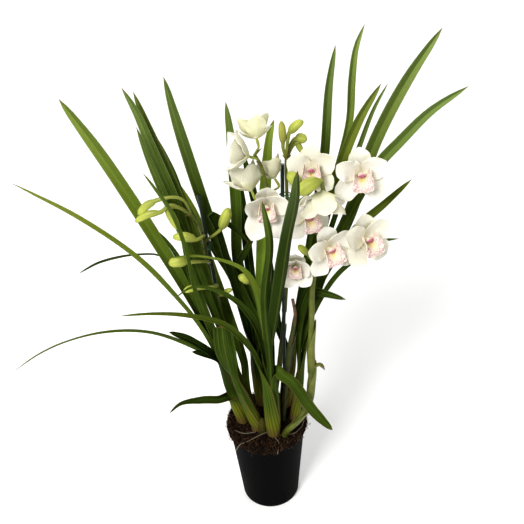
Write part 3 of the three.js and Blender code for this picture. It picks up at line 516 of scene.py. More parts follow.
# %% Leaves of every growth
GROWTHS = {
    "growth_front": dict(foot=(10, -27), radius=14, lean=(-1, -4), leaves=[
        dict(heading=-60, width=25, twist=(0, 0, 0), tone=-0.4, path=[
            (2, 200), (3, 262), (7, 364), (22, 420), (46, 517), (66, 600), (88, 676), (95, 724)]),
        dict(heading=-86, width=13, tone=-0.2, path=[
            (6, 200), (14, 330), (32, 480, -4), (48, 590, 6), (60, 668, -2)]),
        dict(heading=185, width=13, twist=(0, 40, 60, 20), tone=0.45, tip=0.3, path=[
            (2, 200), (6, 300), (14, 470), (30, 511), (60, 534), (95, 547), (134, 549)]),
        dict(heading=196, width=15, shape=(0.6, 0.85, 1, 1, 0.95, 0.75, 0.5, 0.3, 0.12), tone=0.05, path=[
            (5, 200), (8, 309), (18, 404), (43, 461), (77, 496), (106, 509), (134, 497)]),
        dict(heading=206, width=16, shape=(0.7, 0.95, 1, 0.9, 0.75, 0.55, 0.4, 0.25, 0.12), tone=0.05,
             tip=0.3, path=[
            (7, 200), (12, 266), (29, 360), (71, 437), (122, 477), (176, 505), (220, 521)]),
        dict(heading=-30, width=20, tone=-0.02, path=[
            (6, 200), (10, 270), (14, 316), (24, 312), (42, 296), (72, 254), (107, 222)]),
        dict(heading=70, width=14, tone=-0.3, path=[(4, 200), (6, 300), (10, 400), (14, 500)]),
    ]),
    "growth_left": dict(foot=(-16, -14), radius=13, lean=(-21, -5), old_bulb=dict(
        foot=(-8, -21), radius=9.5, top=194), leaves=[
        dict(heading=168, width=17, path=[
            (6, 200), (52, 335), (80, 465), (90, 591), (119, 703), (133, 754), (147, 787)]),
        dict(heading=162, width=17, tone=0.1, tip=0.35, path=[
            (4, 200), (44, 370), (70, 509), (90, 604), (106, 660), (127, 733), (138, 774)]),
        dict(heading=175, width=13, path=[
            (3, 200), (50, 400), (79, 535), (107, 637), (120, 690), (130, 739)]),
        dict(heading=122, width=18, tone=0.3, tip=0.35, path=[
            (4, 200), (30, 300), (70, 380), (118, 463), (141, 516), (203, 550), (245, 556)]),
        dict(heading=200, width=8, tone=0.2, path=[
            (5, 200), (46, 330), (80, 491), (86, 565), (99, 631), (116, 673), (130, 703)]),
        dict(heading=215, width=32, twist=(0, 20, 45, 55, 55), fold=(60, 45, 15, 8), tone=-0.12, cut=True,
             shape=(0.5, 0.4, 0.4, 0.45, 0.55, 0.8, 1, 0.97, 0.88), path=[
            (6, 195), (14, 225), (36, 290), (49, 372), (50, 421)]),
    ]),
    "growth_far_left": dict(foot=(-41, 6), radius=13, lean=(-17, -1), yellow_top=340, leaves=[
        dict(heading=172, width=21, tone=0.4, tip=0.25, path=[
            (4, 200), (34, 335), (64, 435), (115, 566), (161, 674), (208, 767)]),
        dict(heading=176, width=9, path=[(2, 200), (20, 300), (43, 410), (76, 518), (96, 558)]),
        dict(heading=196, width=14, twist=(0, 20, 50, 40), tone=0.15, tip=0.4, path=[
            (6, 200), (49, 376), (93, 475), (138, 554), (204, 636), (273, 706)]),
        dict(heading=164, width=8, twist=(0, 40, 60), tone=-0.4, path=[
            (2, 200), (52, 421), (102, 497), (139, 497), (207, 473), (249, 444)]),
        dict(heading=206, width=15, twist=(0, 20, 50, 30), shape=(0.6, 0.9, 1, 0.9, 0.7, 0.5, 0.35, 0.12),
             tone=0.05, tip=0.2, path=[
            (6, 200), (18, 279), (37, 320), (75, 368), (135, 425), (198, 456), (253, 466), (298, 462),
            (338, 447)]),
        dict(heading=217, width=15, tone=-0.2, path=[(7, 200), (35, 320), (78, 391), (116, 434)]),
        dict(heading=212, width=14, tone=-0.3, path=[(8, 200), (24, 274), (40, 331), (60, 352), (78, 366)]),
        dict(heading=207, width=15, shape=(0.6, 0.85, 1, 0.95, 0.85, 0.6, 0.35, 0.12), tone=-0.1, path=[
            (8, 200), (18, 222), (42, 236), (72, 252), (106, 262), (126, 252)]),
    ]),
    "growth_back": dict(foot=(-6, 42), radius=13, lean=(-3, 6), leaves=[
        dict(heading=175, width=20, path=[
            (0, 200), (-4, 322), (19, 400), (50, 500), (75, 620), (93, 720), (102, 782)]),
        dict(heading=140, width=14, tone=-0.1, path=[
            (3, 200), (24, 350), (30, 453), (19, 478), (8, 498), (-6, 524)]),
        dict(heading=156, width=7, path=[
            (5, 200), (16, 330), (40, 430), (66, 480), (104, 560), (118, 612), (136, 661)]),
        dict(heading=128, width=18, path=[
            (3, 200), (14, 388), (38, 450), (32, 560), (32, 671), (37, 729)]),
        dict(heading=60, width=21, shape=(0.5, 0.8, 1, 1, 0.95, 0.8, 0.4), tone=0.8, tip=0.2, path=[
            (3, 200), (20, 400), (56, 600), (72, 654), (88, 671)]),
        dict(heading=198, width=15, tone=-0.1, path=[
            (2, 200), (30, 400), (54, 560), (61, 582), (44, 566), (16, 530), (4, 508)]),
        dict(heading=100, width=16, tone=-0.3, path=[(5, 200), (16, 340), (50, 500), (90, 590)]),
        dict(heading=80, width=17, tone=-0.3, path=[
            (7, 200), (30, 320), (80, 440), (150, 520), (210, 540)]),
    ]),
    "growth_right": dict(foot=(33, 34), radius=11, lean=(12, 9), leaves=[
        dict(heading=52, width=16, tone=-0.05, path=[
            (5, 200), (34, 300), (84, 450), (128, 594), (143, 708), (160, 762)]),
        dict(heading=38, width=15, twist=(0, 30, 45, 80, 40), tone=0.1, tip=0.2, path=[
            (3, 200), (24, 300), (80, 460), (121, 584), (145, 660), (150, 722), (158, 770), (174, 799)]),
        dict(heading=26, width=18, tone=0, tip=0.4, path=[
            (4, 200), (20, 303), (60, 460), (100, 587), (140, 674), (176, 722)]),
        dict(heading=16, width=8, path=[(5, 200), (19, 304), (80, 500), (126, 639), (149, 701), (170, 738)]),
        dict(heading=6, width=21, tone=0, tip=0.15, path=[
            (6, 200), (18, 308), (60, 440), (105, 535), (145, 667), (185, 753), (229, 824)]),
        dict(heading=110, width=16, tone=-0.3, path=[(6, 200), (20, 330), (60, 480), (130, 600)]),
    ]),
    "growth_far_right": dict(foot=(47, 2), radius=11, lean=(8, 0), leaves=[
        dict(heading=-4, width=17, tone=0.1, path=[
            (6, 200), (20, 308), (50, 470), (120, 651), (156, 699), (193, 742), (237, 775)]),
        dict(heading=4, width=14, tone=0.24, tip=0.3, path=[
            (4, 200), (14, 338), (50, 464), (103, 550), (138, 583), (177, 621)]),
        dict(heading=-14, width=8, tone=0.12, path=[
            (4, 200), (14, 330), (70, 480), (128, 536, 12), (138, 543, 12), (158, 548, 12)]),
        dict(heading=-28, width=15, tone=-0.08, path=[
            (5, 200), (12, 320), (28, 430), (41, 454), (60, 456), (90, 455)]),
    ]),
}

# %% Where a growth and its leaves run
SLEEVE_ROWS, BLADE_ROWS, LEAF_COLS = 9, 52, 15
TURN_SHARES = (0, 0.8, 1, 1)


def stem_at(foot, lean, z):
    """The middle of a leaning growth at height z."""
    return np.array(foot) + np.outer(np.clip((z - FOOT_TOP) / BULB_HEIGHT, 0, 1.5), lean)


def compass(heading):
    """The level directions along a heading and across it."""
    angle = math.radians(heading)
    out = np.array((math.cos(angle), math.sin(angle), 0))
    return out, np.array((-out[1], out[0], 0))


def leaf_lines(foot, leaf, t):
    """A blade's middle line, and at each of its points the ways across the blade and out of its face."""
    out, across = compass(leaf["heading"])
    stops = [np.array((*foot, step[1])) + out * step[0] + across * (step[2] if len(step) > 2 else 0)
             for step in leaf["path"]]
    spine = spaced(smooth_path(stops), t)
    tangents = unit(np.gradient(spine, axis=0))
    flat = unit(across - tangents * (tangents @ across)[:, None])
    upper = np.cross(tangents, flat)
    turns = leaf.get("twist", [FRONT_TURN * out[0] * share for share in TURN_SHARES])
    turn = np.radians(spread(turns, t))[:, None]
    side = flat * np.cos(turn) + upper * np.sin(turn)
    face = upper * np.cos(turn) - flat * np.sin(turn)
    return spine, side, face


def with_sleeve(rows):
    """The rows of a blade after a repeat of its first row for each row of its sleeve."""
    return np.concatenate([np.repeat(rows[:1], SLEEVE_ROWS, axis=0), rows])


# %% One leaf, from its sleeve to its tip
BLADE_WIDTHS = (0.45, 0.72, 0.92, 1, 1, 0.98, 0.93, 0.79, 0.36)
BLADE_FOLD, NARROW_FOLD, RIPPLE = (52, 30, 22), 0.6, 0.05
ROUND_TIP, CUT_TIP, LEAST_TIP = 0.035, 0.012, 0.03
SLEEVE_TOP, SLEEVE_OPEN, SLEEVE_STEP = 250, 345, 0.8
# Heights, and half the arc that a sleeve clasps there, and its share of the growth's radius
CLASP_AT = (FOOT_TOP, 215, SLEEVE_TOP, SLEEVE_OPEN), (150, 112, 92, 60)
GIRTH_AT = (FOOT_TOP, 195, SLEEVE_TOP, SLEEVE_OPEN), (0.76, 0.88, 0.92, 0.8)


def blade_grid(leaf, t, centre, side, face, u):
    """The folded strap. Its lowest rows, where the sleeve is, are all as its foot."""
    tip = np.sqrt(np.clip((1 - t) / (CUT_TIP if leaf.get("cut") else ROUND_TIP), 0, 1))
    half = leaf["width"] / 2 * spread(leaf.get("shape", BLADE_WIDTHS), t) * np.maximum(tip, LEAST_TIP)
    folded = NARROW_FOLD if leaf["width"] < NARROW else 1
    fold = np.radians(spread(leaf.get("fold", BLADE_FOLD), t)) * folded
    half, fold = with_sleeve(half)[:, None], with_sleeve(fold)[:, None]
    crease = (np.sqrt(u ** 2 + 0.01) - 0.1) / 0.905
    ripple = RIPPLE * np.sin(t * 23 + leaf["heading"])[:, None] * u ** 3
    ripple = np.vstack([np.zeros((SLEEVE_ROWS, LEAF_COLS)), ripple])
    out_of_face = half * (crease * np.sin(fold) + ripple)
    return centre[:, None] + side[:, None] * (u * half * np.cos(fold))[..., None] + (
        face[:, None] * out_of_face[..., None])


def sleeve_grid(leaf, layer, radius, stem, height, u):
    """The sleeve: at each height an arc round the growth, a step further in for each layer."""
    out, across = compass(leaf["heading"])
    clasp = np.radians(np.interp(height, *CLASP_AT))[:, None] * u
    ring = (radius * np.interp(height, *GIRTH_AT) - SLEEVE_STEP * layer)[:, None]
    ring = ring * (1 - 0.06 * np.cos(clasp * 2 + layer))
    x, y = (stem[:, k, None] + ring * (np.cos(clasp) * out[k] + np.sin(clasp) * across[k]) for k in (0, 1))
    return np.stack([x, y, np.broadcast_to(height[:, None], clasp.shape)], axis=2)


def leaf_surface(foot, lean, radius, leaf, layer):
    """The upper face of a leaf as a grid of points, and how high each row is."""
    t = np.linspace(0, 1, BLADE_ROWS) ** 1.05
    u = np.linspace(-1, 1, LEAF_COLS)
    spine, side, face = leaf_lines(foot, leaf, t)
    centre = with_sleeve(spine)
    centre[:SLEEVE_ROWS, 2] = np.linspace(FOOT_TOP - 6, spine[0][2] - 3, SLEEVE_ROWS)
    height = centre[:, 2]
    stem = stem_at(foot, lean, height)
    reach = np.linalg.norm(centre[:, :2] - stem, axis=1)
    opened = np.maximum(ease(SLEEVE_TOP, SLEEVE_OPEN, height), ease(radius * 0.9, radius * 2.6, reach))
    opened = opened[:, None, None]
    sleeve = sleeve_grid(leaf, layer, radius, stem, height, u)
    blade = blade_grid(leaf, t, centre, with_sleeve(side), with_sleeve(face), u)
    return sleeve * (1 - opened) + blade * opened, height


# %% The marks of a leaf
BASE_PALE, TIP_DRY, FOOT_DRY, MARGIN_DRY, DRY_SLEEVES = 0.62, 0.9, 0.6, 0.6, 3
MIDDLE_HALF = 0.12


def leaf_marks(leaf, layer, height, along, yellow_top):
    """Where a leaf is pale, dry or an underside, and where painted shade falls on its back half."""
    u = np.linspace(-1, 1, LEAF_COLS)
    base = BASE_PALE * (1 - ease(FOOT_TOP, yellow_top, height)) * (1 - ease(0.2, 0.4, along))
    foot = FOOT_DRY * (1 - ease(FOOT_TOP - 4, FOOT_TOP + 26, height)) * (layer < DRY_SLEEVES)
    margin = MARGIN_DRY * ease(0.84, 0.98, np.abs(u)) * (1 - ease(SLEEVE_TOP, SLEEVE_OPEN, height))[:, None]
    dry = np.clip((TIP_DRY * ease(0.985, 1, along) + foot)[:, None] + margin, 0, 1)
    # Painted shade on the back half of a blade that reaches sideways; the shader adds it high up
    outward = compass(leaf["heading"])[0][0]
    back_half_shade = abs(outward) * ease(-MIDDLE_HALF, MIDDLE_HALF, u * np.sign(outward)) * np.ones_like(dry)
    blank = np.zeros_like(dry)
    return dict(pale=base + leaf.get("tip", 0) * ease(0.45, 1, along), dry=two_sides(dry, dry),
                under=two_sides(blank, blank + 1), shaded=two_sides(back_half_shade, back_half_shade))


# %% A whole growth
BULB_ROWS, BULB_SIDES, OLD_BULB_ROWS, RANK_HEIGHT, TONE_STRAY = 14, 20, 16, 290, 0.08
OLD_BULB_SHARES = (0.8, 0.95, 1, 1, 0.92, 0.72, 0.25)


def reach_at(leaf, height):
    """How far out a leaf is at a height."""
    return np.interp(height, [step[1] for step in leaf["path"][:4]], [step[0] for step in leaf["path"][:4]])


def add_leaf(piece, foot, radius, lean, leaf, layer, yellow_top):
    """A leaf with its sleeve, thinner at its edges and its tip."""
    surface, height = leaf_surface(foot, lean, radius, leaf, layer)
    along = np.linspace(0, 1, len(height))
    depth = EDGE_THICK + (LEAF_THICK - EDGE_THICK) * (1 - np.abs(np.linspace(-1, 1, LEAF_COLS))) ** 1.5
    tone = leaf.get("tone", 0) + chance.uniform(-TONE_STRAY, TONE_STRAY)
    marks = leaf_marks(leaf, layer, height, along, yellow_top)
    rings = sheet_rings(surface, depth * tapered(len(height), 0.25))
    piece.loft(rings, sheet_u(LEAF_COLS), along, tone=tone, **marks)


def add_bulb(piece, foot, radius, lean, layers):
    """The bulb inside the sleeves."""
    low, high = MIX_TOP - ROOT_DEPTH, FOOT_TOP + BULB_HEIGHT
    z = np.linspace(low, high, BULB_ROWS)
    inside = radius * spread(BULB_SHARES, (z - low) / (high - low)) - SLEEVE_STEP * layers - 1
    middle = np.column_stack([stem_at(foot, lean, z), z])
    piece.loft(tube_rings(middle, inside, BULB_SIDES), pale=0.5, dry=0.3)


def add_old_bulb(piece, foot, radius, top):
    """A shrunken bulb of an earlier year, bare and ribbed."""
    z = np.linspace(MIX_TOP - 8, top, OLD_BULB_ROWS)
    swell = radius * spread(OLD_BULB_SHARES, np.linspace(0, 1, OLD_BULB_ROWS))
    middle = np.column_stack([np.full(z.shape, foot[0]), np.full(z.shape, foot[1]), z])
    piece.loft(tube_rings(middle, swell, BULB_SIDES, ribs=5, rib_depth=0.12), tone=-0.5, pale=0.1, dry=0.22)


def growth_piece(name, foot, radius, lean, leaves, material, yellow_top=255, old_bulb=None):
    """One growth: its leaves, the outermost sleeve first, its bulb, and an old bulb if it has one."""
    piece = Piece("tone", "pale", "dry", "under", "shaded")
    for layer, leaf in enumerate(sorted(leaves, key=lambda one: -reach_at(one, RANK_HEIGHT))):
        add_leaf(piece, foot, radius, lean, leaf, layer, yellow_top)
    add_bulb(piece, foot, radius, lean, len(leaves))
    if old_bulb:
        add_old_bulb(piece, **old_bulb)
    return piece.finish(name + "_leaves", material, [name])


leaf_material = leaf_skin()
for growth_name, growth in GROWTHS.items():
    growth_piece(growth_name, material=leaf_material, **growth)

# %% [markdown]
# ## The pot
# A deep nursery pot is moulded in one piece from black plastic. It has a plain tapered wall, a low rim band,
# and a floor with a raised ring, where the drain holes are. It is a turned shape, so its half section is
# lofted round the axis, and the holes are cut with a Boolean, as a drill would.

# %% Black plastic
PLASTIC_BLACK, PLASTIC_DUST = (0.0024, 0.0024, 0.0025, 1), (0.040, 0.036, 0.030, 1)
DUST_SHARE, FLECK_SHARE = 0.03, 0.25


def pot_plastic():
    """Matt black with faint dust, duller where the dust is."""
    material, tree, body, _ = skin("pot_plastic", Specular_IOR_Level=0.03)
    tall = place(tree, "ShaderNodeMapping", Vector=body, Scale=(1, 1, 0.3)).outputs[0]
    dust = use(tree, blotches, Vector=tall, Scale=28.0, Low=0.5, High=0.95)["Mask"]
    fleck = use(tree, blotches, Vector=body, Scale=420.0, Low=0.68, High=0.74)["Mask"]
    dusty = maths(tree, "ADD", times(tree, dust, DUST_SHARE), times(tree, fleck, FLECK_SHARE))
    rough = maths(tree, "MULTIPLY_ADD", dust, 0.15, 0.62)
    return dressed(material, mixed(tree, dusty, PLASTIC_BLACK, PLASTIC_DUST),
                   use(tree, grain, Vector=body, Scale=1500.0)["Height"], 0.2, 0.0002, rough)


# %% The pot's turned body and its drain holes
POT_SIDES, DRILL_SIDES = 96, 20
RIM_HEIGHT, RIM_OUT = 7, 1.8


def turned(profile, sides):
    """Rings of a shape turned round the axis, from its half section of radius and height."""
    angles = np.linspace(0, 2 * np.pi, sides, endpoint=False)
    return np.array([[(r * math.cos(a), r * math.sin(a), z) for a in angles] for r, z in profile])


def wall_at(z):
    """The wall's outside radius at a height."""
    return BASE_RADIUS + (RIM_RADIUS - RIM_OUT - BASE_RADIUS) * z / POT_HEIGHT


def pot_section():
    """The pot's half section: under the base, up the wall, round the rim and down the inside."""
    rim_foot, floor_top = POT_HEIGHT - RIM_HEIGHT, FLOOR_RISE + POT_WALL
    under = [(0.3, 0), (20, 0), (21, 0.3), (23, FLOOR_RISE), (40, FLOOR_RISE), (42, 0.2), (43, 0),
             (BASE_RADIUS - 0.8, 0), (BASE_RADIUS - 0.1, 0.4)]
    wall = [(wall_at(z), z) for z in (1.2, 12, 40, 80, 120, 150, rim_foot - 0.4)]
    rim = [(wall_at(rim_foot) + 0.6, rim_foot + 0.1)]
    rim += [(RIM_RADIUS - inwards, rim_foot + up) for inwards, up in ((0.4, 0.6), (0, 1.2))]
    rim += [(RIM_RADIUS - inwards, POT_HEIGHT - down)
            for inwards, down in ((0, 1.2), (0.5, 0.2), (1.3, 0), (2.6, 0.2), (3, 1))]
    inside = [(wall_at(z) - POT_WALL, z) for z in (rim_foot - 1, 120, 80, 40, floor_top + 2)]
    return [*under, *wall, *rim, *inside, (BASE_RADIUS - POT_WALL - 2, floor_top), (0.3, floor_top)]


def cut(body, drills):
    """The body less the drills, as a plain mesh."""
    blank, tool = linked("blank", body.mesh("blank")), linked("tool", drills.mesh("tool"))
    boolean = blank.modifiers.new("holes", "BOOLEAN")
    boolean.object = tool
    boolean.solver = "EXACT"
    graph = bpy.context.evaluated_depsgraph_get()
    mesh = bpy.data.meshes.new_from_object(blank.evaluated_get(graph), depsgraph=graph)
    bpy.data.objects.remove(blank)
    bpy.data.objects.remove(tool)
    return mesh


def pot_mesh():
    """The turned pot, pierced by its drain holes."""
    body, drills = Piece(), Piece()
    body.loft(turned(pot_section(), POT_SIDES))
    for k in range(DRAIN_COUNT):
        angle = 2 * math.pi * (k + 0.5) / DRAIN_COUNT
        drill = turned([(DRAIN_RADIUS, -3), (DRAIN_RADIUS, 9)], DRILL_SIDES)
        drills.loft(drill + (DRAIN_CIRCLE * math.cos(angle), DRAIN_CIRCLE * math.sin(angle), 0))
    return cut(body, drills)


set_in_place("pot_body", pot_mesh(), pot_plastic(), ["pot"], crisp=40)

# %% [markdown]
# ## The potting mix
# Orchid mix is bark crumbs, coir fibre and old roots, heaped a little over the rim. A closed mound gives the
# heap its shape. Geometry Nodes then scatter crumbs and fibres over it, because nobody would place some
# thousands of them by hand: points on the faces, an instance on each point, and a random turn and size.

# %% Bark, fibre and root materials
BARK_DARK, BARK_RED = (0.0025, 0.0018, 0.0012, 1), (0.034, 0.020, 0.012, 1)
BARK_PALE = (0.110, 0.078, 0.050, 1)
FIBRE_DARK, FIBRE_LIGHT = (0.006, 0.0035, 0.0025, 1), (0.190, 0.100, 0.055, 1)
ROOT_DARK, ROOT_LIGHT = (0.150, 0.125, 0.090, 1), (0.300, 0.260, 0.190, 1)
CLOUD_SHARE, PALER_BITS, RARE_POWER, PALE_SHARE = 0.2, 0.75, 2.5, 0.6


def bark_skin(name, dark, light, scale=70.0):
    """Two browns, of which few bits have much of the light one, with pale flecks, rough all over."""
    material, tree, body, _ = skin(name, Roughness=0.9, Specular_IOR_Level=0.08)
    clouds = use(tree, blotches, Vector=body, Scale=scale)["Mask"]
    flecks = use(tree, blotches, Vector=body, Scale=210.0, Low=0.66, High=0.72)["Mask"]
    rare = times(tree, maths(tree, "POWER", mark(tree, "shade"), RARE_POWER), PALER_BITS)
    brown = mixed(tree, maths(tree, "MULTIPLY_ADD", clouds, CLOUD_SHARE, rare), dark, light)
    return dressed(material, mixed(tree, times(tree, flecks, PALE_SHARE), brown, BARK_PALE),
                   use(tree, grain, Vector=body, Scale=700.0)["Height"], 0.6, 0.0008)


bark_material = bark_skin("bark", BARK_DARK, BARK_RED)
fibre_material = bark_skin("fibre", FIBRE_DARK, FIBRE_LIGHT, 120.0)
root_material = bark_skin("root_skin", ROOT_DARK, ROOT_LIGHT, 60.0)


# %% The mound
TOP_RADII = (0.5, 8, 16, 24, 32, 40, 47, 53, 58, 61, 63.5)
# The spilled edge as radius, height over the mix, and how much lower a ragged bit of it hangs
SPILL = ((65.4, 2.5, 1.5), (66.2, -0.5, 2.5), (66.3, -2.0, 6.5), (65.3, -2.6, 7.0))
PACKED = ((60, 156), (45.5, 6), (0.5, 6))


def mound_relief(x, y):
    """The bumps of the heap, as the CAD part has them."""
    return np.sin(x * 0.31 + 1) * np.cos(y * 0.27) + 0.6 * np.sin(x * 0.13 - y * 0.41)


def mound_piece():
    """The heap: a bumpy top, a ragged edge that spills over the rim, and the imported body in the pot."""
    angles = np.linspace(0, 2 * np.pi, 120, endpoint=False)
    ragged = 0.5 + 0.25 * np.sin(angles * 7 + 1) + 0.25 * np.sin(angles * 17) * np.cos(angles * 5)
    left = 0.5 - 0.5 * np.cos(angles)
    circle = np.column_stack([np.cos(angles), np.sin(angles)])
    rings = []
    for radius in TOP_RADII:
        rise = ease(50, 61, radius) * (3 + 2.5 * left * ragged)
        relief = MIX_RELIEF / 1.6 * mound_relief(*(radius * circle).T)
        rings.append(np.column_stack([radius * circle, MIX_TOP + 1 + rise + relief]))
    for radius, over, fall in SPILL:
        wide = (radius + 0.8 * left * ragged)[:, None]
        rings.append(np.column_stack([wide * circle, MIX_TOP + over - fall * ragged * (0.4 + left)]))
    for radius, level in PACKED:
        rings.append(np.column_stack([radius * circle, np.full(len(angles), level)]))
    mound = Piece()
    mound.loft(np.array(rings))
    return mound


# %% Geometry Nodes: crumbs and fibres on the mound
# A face is strewn where its normal's height and its own height, in metres, are over these
FACES_UP, SCATTER_FLOOR = -0.3, (POT_HEIGHT - 8) * MM


def geometry_tree(name, sizes):
    """A Geometry Nodes tree with a geometry in and out and named numbers."""
    tree = bpy.data.node_groups.new(name, "GeometryNodeTree")
    tree.interface.new_socket("Geometry", in_out="INPUT", socket_type="NodeSocketGeometry")
    for title, value in sizes.items():
        kind = "NodeSocketInt" if isinstance(value, int) else "NodeSocketFloat"
        tree.interface.new_socket(title, in_out="INPUT", socket_type=kind).default_value = value
    tree.interface.new_socket("Geometry", in_out="OUTPUT", socket_type="NodeSocketGeometry")
    return tree, tree.nodes.new("NodeGroupInput").outputs, tree.nodes.new("NodeGroupOutput").inputs


def random_between(tree, low, high, seed):
    """A random value between two others, which are numbers or vectors."""
    node = tree.nodes.new("FunctionNodeRandomValue")
    is_vector = isinstance(low, tuple)
    node.data_type = "FLOAT_VECTOR" if is_vector else "FLOAT"
    # The node keeps sockets for every kind of value, those for vectors first and those for numbers next
    first_in, out = (0, 0) if is_vector else (2, 1)
    node.inputs[first_in].default_value, node.inputs[first_in + 1].default_value = low, high
    tree.links.new(seed, node.inputs["Seed"])
    return node.outputs[out]


def scatter_tree(name, shape_of, least, most, material, keep_ground):
    """Instances of a shape on the upper faces of a surface, each stretched by a random vector."""
    tree, takes, gives = geometry_tree(name, {"Density": 100.0, "Size": 0.002, "Seed": 1})
    normal = tree.nodes.new("GeometryNodeInputNormal").outputs[0]
    position = tree.nodes.new("GeometryNodeInputPosition").outputs[0]
    facing = place(tree, "ShaderNodeSeparateXYZ", Vector=normal).outputs["Z"]
    height = place(tree, "ShaderNodeSeparateXYZ", Vector=position).outputs["Z"]
    shown = times(tree, maths(tree, "GREATER_THAN", facing, FACES_UP),
                  maths(tree, "GREATER_THAN", height, SCATTER_FLOOR))
    points = place(tree, "GeometryNodeDistributePointsOnFaces", Mesh=takes["Geometry"], Selection=shown,
                   Density=takes["Density"], Seed=takes["Seed"]).outputs["Points"]
    turn = random_between(tree, (0, 0, 0), (FULL_TURN, FULL_TURN, FULL_TURN), takes["Seed"])
    stretch = random_between(tree, least, most, takes["Seed"])
    stretch = place(tree, "ShaderNodeVectorMath", {"operation": "SCALE"}, Vector=stretch,
                    Scale=takes["Size"]).outputs[0]
    copies = place(tree, "GeometryNodeInstanceOnPoints", Points=points, Instance=shape_of(tree),
                   Rotation=turn, Scale=stretch).outputs[0]
    shade = random_between(tree, 0.0, 1.0, takes["Seed"])
    copies = place(tree, "GeometryNodeStoreNamedAttribute", {"data_type": "FLOAT", "domain": "INSTANCE"},
                   Geometry=copies, Name="shade", Value=shade).outputs[0]
    real = place(tree, "GeometryNodeRealizeInstances", Geometry=copies).outputs[0]
    if keep_ground:
        joined = tree.nodes.new("GeometryNodeJoinGeometry")
        tree.links.new(takes["Geometry"], joined.inputs[0])
        tree.links.new(real, joined.inputs[0])
        real = joined.outputs[0]
    done = place(tree, "GeometryNodeSetMaterial", Geometry=real, Material=material).outputs[0]
    tree.links.new(done, gives["Geometry"])
    return tree


def crumb_shape(tree):
    """A crumb: a coarse ball that the random stretch makes a flake."""
    return place(tree, "GeometryNodeMeshIcoSphere", Radius=0.5, Subdivisions=1).outputs["Mesh"]


def fibre_shape(tree):
    """A fibre: a short bent thread one unit long."""
    arc = place(tree, "GeometryNodeCurveQuadraticBezier", Resolution=5, Start=(-0.5, 0, 0),
                Middle=(0, 0.35, 0.15), End=(0.5, 0, 0)).outputs[0]
    section = place(tree, "GeometryNodeCurvePrimitiveCircle", Resolution=3, Radius=0.022).outputs[0]
    return place(tree, "GeometryNodeCurveToMesh", Curve=arc, Profile_Curve=section).outputs[0]


def grown(base, tree, **values):
    """The plain mesh that a Geometry Nodes tree makes from an object."""
    modifier = base.modifiers.new(tree.name, "NODES")
    modifier.node_group = tree
    sockets = {item.name: item.identifier for item in tree.interface.items_tree if item.in_out == "INPUT"}
    for title, value in values.items():
        modifier[sockets[title]] = value
    graph = bpy.context.evaluated_depsgraph_get()
    mesh = bpy.data.meshes.new_from_object(base.evaluated_get(graph), depsgraph=graph)
    base.modifiers.remove(modifier)
    return mesh


# %% Strew the crumbs and the fibres
mound = linked("mound", mound_piece().mesh("mound"))
crumbs = scatter_tree("bark_crumbs", crumb_shape, (0.6, 0.45, 0.3), (1.5, 1.1, 0.8), bark_material, True)
set_in_place("bark_mix", grown(mound, crumbs, Density=230000.0, Size=0.0036, Seed=3), bark_material,
             ["potting_mix"], crisp=30)
threads = scatter_tree("coir_fibres", fibre_shape, (0.5, 0.5, 0.3), (1.6, 1.6, 0.8), fibre_material, False)
set_in_place("coir_fibre", grown(mound, threads, Density=120000.0, Size=0.012, Seed=5), fibre_material)
bpy.data.objects.remove(mound)

# %% [markdown]
# ## Flower spikes and buds
# A spike is a round stem with a sheath at each low joint and a small bract under each flower stalk. Its
# unopened buds are plump, with three shallow seams where the sepals meet. All of it is young tissue, so it
# shares one yellow-green skin, whose marks make the buds brighter and the tips of sheaths and bracts brown.

# %% Spike material
STEM_GREEN, STEM_LIGHT = (0.046, 0.062, 0.009, 1), (0.105, 0.118, 0.021, 1)
BUD_YELLOW, BRACT_BROWN = (0.440, 0.480, 0.095, 1), (0.200, 0.125, 0.055, 1)


def spike_skin():
    """Fresh yellow-green with fine lines along it, brighter or brown where the marks say so."""
    material, tree, body, surface = skin(
        "spike_skin", Specular_IOR_Level=0.2, Subsurface_Weight=0.1, Subsurface_Scale=0.002,
        Subsurface_Radius=(0.8, 1.0, 0.2))
    clouds = use(tree, blotches, Vector=body, Scale=55.0)["Mask"]
    fine = use(tree, lines, Vector=surface, Count=9.0, Waver=0.6)["Height"]
    colour = coated(tree, mixed(tree, clouds, STEM_GREEN, STEM_LIGHT), [
        (mark(tree, "bright"), BUD_YELLOW), (times(tree, fine, 0.12), STEM_GREEN),
        (mark(tree, "brown"), BRACT_BROWN)])
    return dressed(material, colour, fine, 0.18, 0.0004, maths(tree, "MULTIPLY_ADD", clouds, 0.12, 0.36))


# %% [markdown]
# ## Where the blooms are
# The stalks end behind their blooms, so the blooms are placed before the spikes are made. Each has a centre,
# and the heading, elevation and roll in degrees at which it faces. Lift is how steeply its tepals bend
# forward, from root to tip. Splay is how far below level its lower sepals stand, and lower how much longer
# they are. Lip is the size of its lip beside its own size, and fresh is how green it still is.

